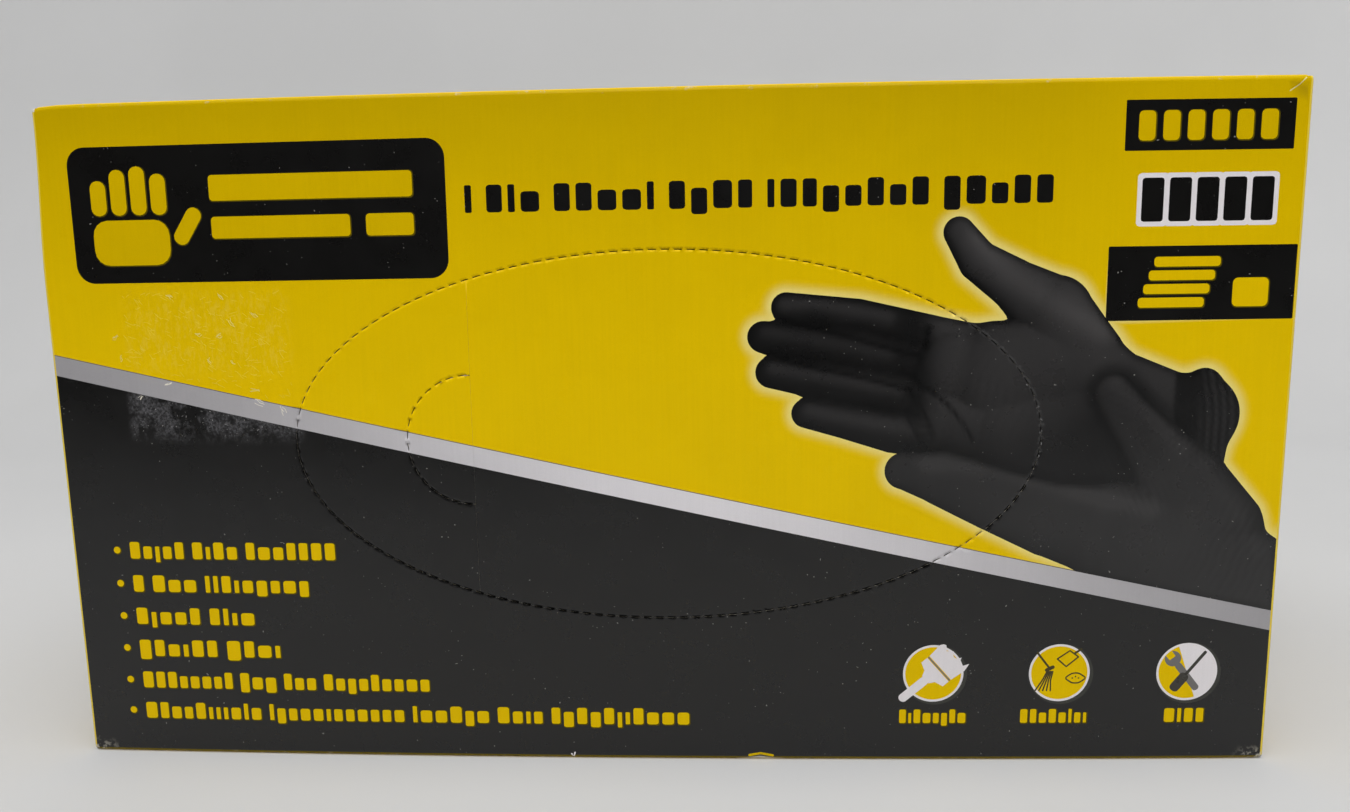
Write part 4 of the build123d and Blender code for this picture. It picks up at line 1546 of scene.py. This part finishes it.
def relax_film(piece):
    """Cloth simulation of the thin film: its pleats swell and wrinkle a little, as packed rubber does."""
    before = np.array([tuple(v.co) for v in piece.data.vertices])
    cloth = piece.modifiers.new("film", "CLOTH")
    settings = cloth.settings
    settings.quality = 5
    settings.mass = 0.02
    settings.tension_stiffness = settings.compression_stiffness = 12
    settings.shear_stiffness = 6
    settings.bending_stiffness = 0.08
    settings.use_pressure = True
    settings.uniform_pressure_force = 1.5
    settings.effector_weights.gravity = 0
    cloth.collision_settings.use_collision = False
    cloth.point_cache.frame_start = 1
    cloth.point_cache.frame_end = FILM_STEPS
    scene = bpy.context.scene
    for number in range(1, FILM_STEPS + 1):
        scene.frame_set(number)
    graph = bpy.context.evaluated_depsgraph_get()
    settled = piece.evaluated_get(graph).to_mesh()
    after = np.array([tuple(v.co) for v in settled.vertices])
    piece.evaluated_get(graph).to_mesh_clear()
    piece.modifiers.clear()
    scene.frame_set(1)
    move = after - before
    length = np.maximum(np.linalg.norm(move, axis=1), 1e-9)[:, None]
    move *= np.minimum(1, SLACK * MM / length)
    piece.data.vertices.foreach_set("co", (before + move).astype(np.float32).ravel())
    piece.data.update()


def keep_within(piece, low, high):
    """Holds the piece inside a box, 0.1 mm clear of its faces."""
    co = np.array([tuple(v.co) for v in piece.data.vertices]) / MM
    co = np.clip(co, low + 0.1, high - 0.1)
    piece.data.vertices.foreach_set("co", (co * MM).astype(np.float32).ravel())
    piece.data.update()


build_stack()
build_first_glove()
glue = frame["nodes"]["seam_glue"]
glue.data.materials.clear()
glue.data.materials.append(ADHESIVE)


# -------- stage, light and camera

PAPER_FRONT = -0.33  # the paper's front edge, as the glossy print sees it
PAPER_HALF = 5.0


def paper(name, profile, material):
    """A smooth strip of the paper sweep: profile is a line of (y, z) points."""
    mesh = bpy.data.meshes.new(name)
    verts = [(x, y, z) for y, z in profile for x in (-PAPER_HALF, PAPER_HALF)]
    faces = [(2 * i, 2 * i + 1, 2 * i + 3, 2 * i + 2) for i in range(len(profile) - 1)]
    mesh.from_pydata(verts, [], faces)
    mesh.polygons.foreach_set("use_smooth", [True] * len(faces))
    mesh.materials.append(material)
    sheet = bpy.data.objects.new(name, mesh)
    bpy.context.scene.collection.objects.link(sheet)
    return sheet


def stage():
    """White paper that curves up behind the carton. Its front part isn't mirrored in the print."""
    m = Surface("paper_sweep")
    tone = m.step(m.noise(160.0, 2.0), 0.3, 0.7, 0.61, 0.63)
    white = m.finish(m.grey(tone), 0.75, 0.3, (m.noise(0.6, 3.0), 0.02))
    bend = [(0.30 + 0.25 * math.sin(a), 0.25 - 0.25 * math.cos(a)) for a in np.linspace(0, math.pi / 2, 24)]
    paper("floor", [(PAPER_FRONT, 0.0)] + bend + [(0.55, 4.0)], white)
    paper("floor_front", [(-5.0, 0.0), (PAPER_FRONT, 0.0)], white).visible_glossy = False


def area_light(name, place, target, size, power):
    data = bpy.data.lights.new(name, "AREA")
    data.shape = "RECTANGLE"
    data.size, data.size_y = size
    data.energy = power
    lamp = bpy.data.objects.new(name, data)
    lamp.location = place
    lamp.rotation_euler = (Vector(target) - Vector(place)).to_track_quat("-Z", "Y").to_euler()
    bpy.context.scene.collection.objects.link(lamp)


def sky_light(strength):
    """Even light from above, so that the paper stays pale a long way from the carton."""
    data = bpy.data.lights.new("sky", "SUN")
    data.energy = strength
    data.angle = math.radians(80)
    lamp = bpy.data.objects.new("sky", data)
    lamp.rotation_euler = (math.radians(18), 0, 0)
    bpy.context.scene.collection.objects.link(lamp)


ROOM_LIGHT, ROOM_SEEN = 0.025, 0.36  # how strongly the room lights things, and how bright it looks


def room():
    """A pale room where the camera sees past the paper, and next to no light from it."""
    world = bpy.data.worlds.new("room")
    world.use_nodes = True
    background = world.node_tree.nodes["Background"]
    background.inputs["Color"].default_value = (0.97, 0.98, 1.0, 1)
    ray = world.node_tree.nodes.new("ShaderNodeLightPath")
    strength = world.node_tree.nodes.new("ShaderNodeMapRange")
    strength.inputs["To Min"].default_value = ROOM_LIGHT
    strength.inputs["To Max"].default_value = ROOM_SEEN
    world.node_tree.links.new(ray.outputs["Is Camera Ray"], strength.inputs["Value"])
    world.node_tree.links.new(strength.outputs["Result"], background.inputs["Strength"])
    bpy.context.scene.world = world


def camera():
    """Close in front of the face, a little right of its middle and above it, looking slightly down."""
    yaw, pitch, roll = (math.radians(a) for a in (2.713, -8.416, 0.929))
    forward = Vector((-math.sin(yaw) * math.cos(pitch), math.cos(yaw) * math.cos(pitch), math.sin(pitch)))
    level_right = forward.cross(Vector((0, 0, 1))).normalized()
    level_up = level_right.cross(forward)
    right = level_right * math.cos(roll) - level_up * math.sin(roll)
    up = level_right * math.sin(roll) + level_up * math.cos(roll)
    data = bpy.data.cameras.new("camera")
    data.sensor_width = 36
    data.lens = 26
    data.clip_start = 0.01
    cam = bpy.data.objects.new("camera", data)
    turn = Matrix((right, up, -forward)).transposed().to_4x4()
    cam.matrix_world = Matrix.Translation(Vector((12.6, -HALF_Y - 187.0, 99.9)) * MM) @ turn
    bpy.context.scene.collection.objects.link(cam)
    bpy.context.scene.camera = cam


stage()
area_light("overhead", (0.0, -0.25, 0.9), (0, -0.1, 0), (0.9, 0.6), 4.5)
sky_light(0.95)
area_light("front", (0.0, -0.8, 0.9), (0, 0, 0.06), (0.9, 0.4), 3.9)
for side, power in ((-1, 0.7), (1, 1.15)):
    area_light("backdrop", (side * 0.75, 0.0, 0.30), (side * 0.5, 0.55, 0.35), (0.3, 0.4), power)
room()
bpy.context.scene.view_settings.view_transform = "Standard"
camera()
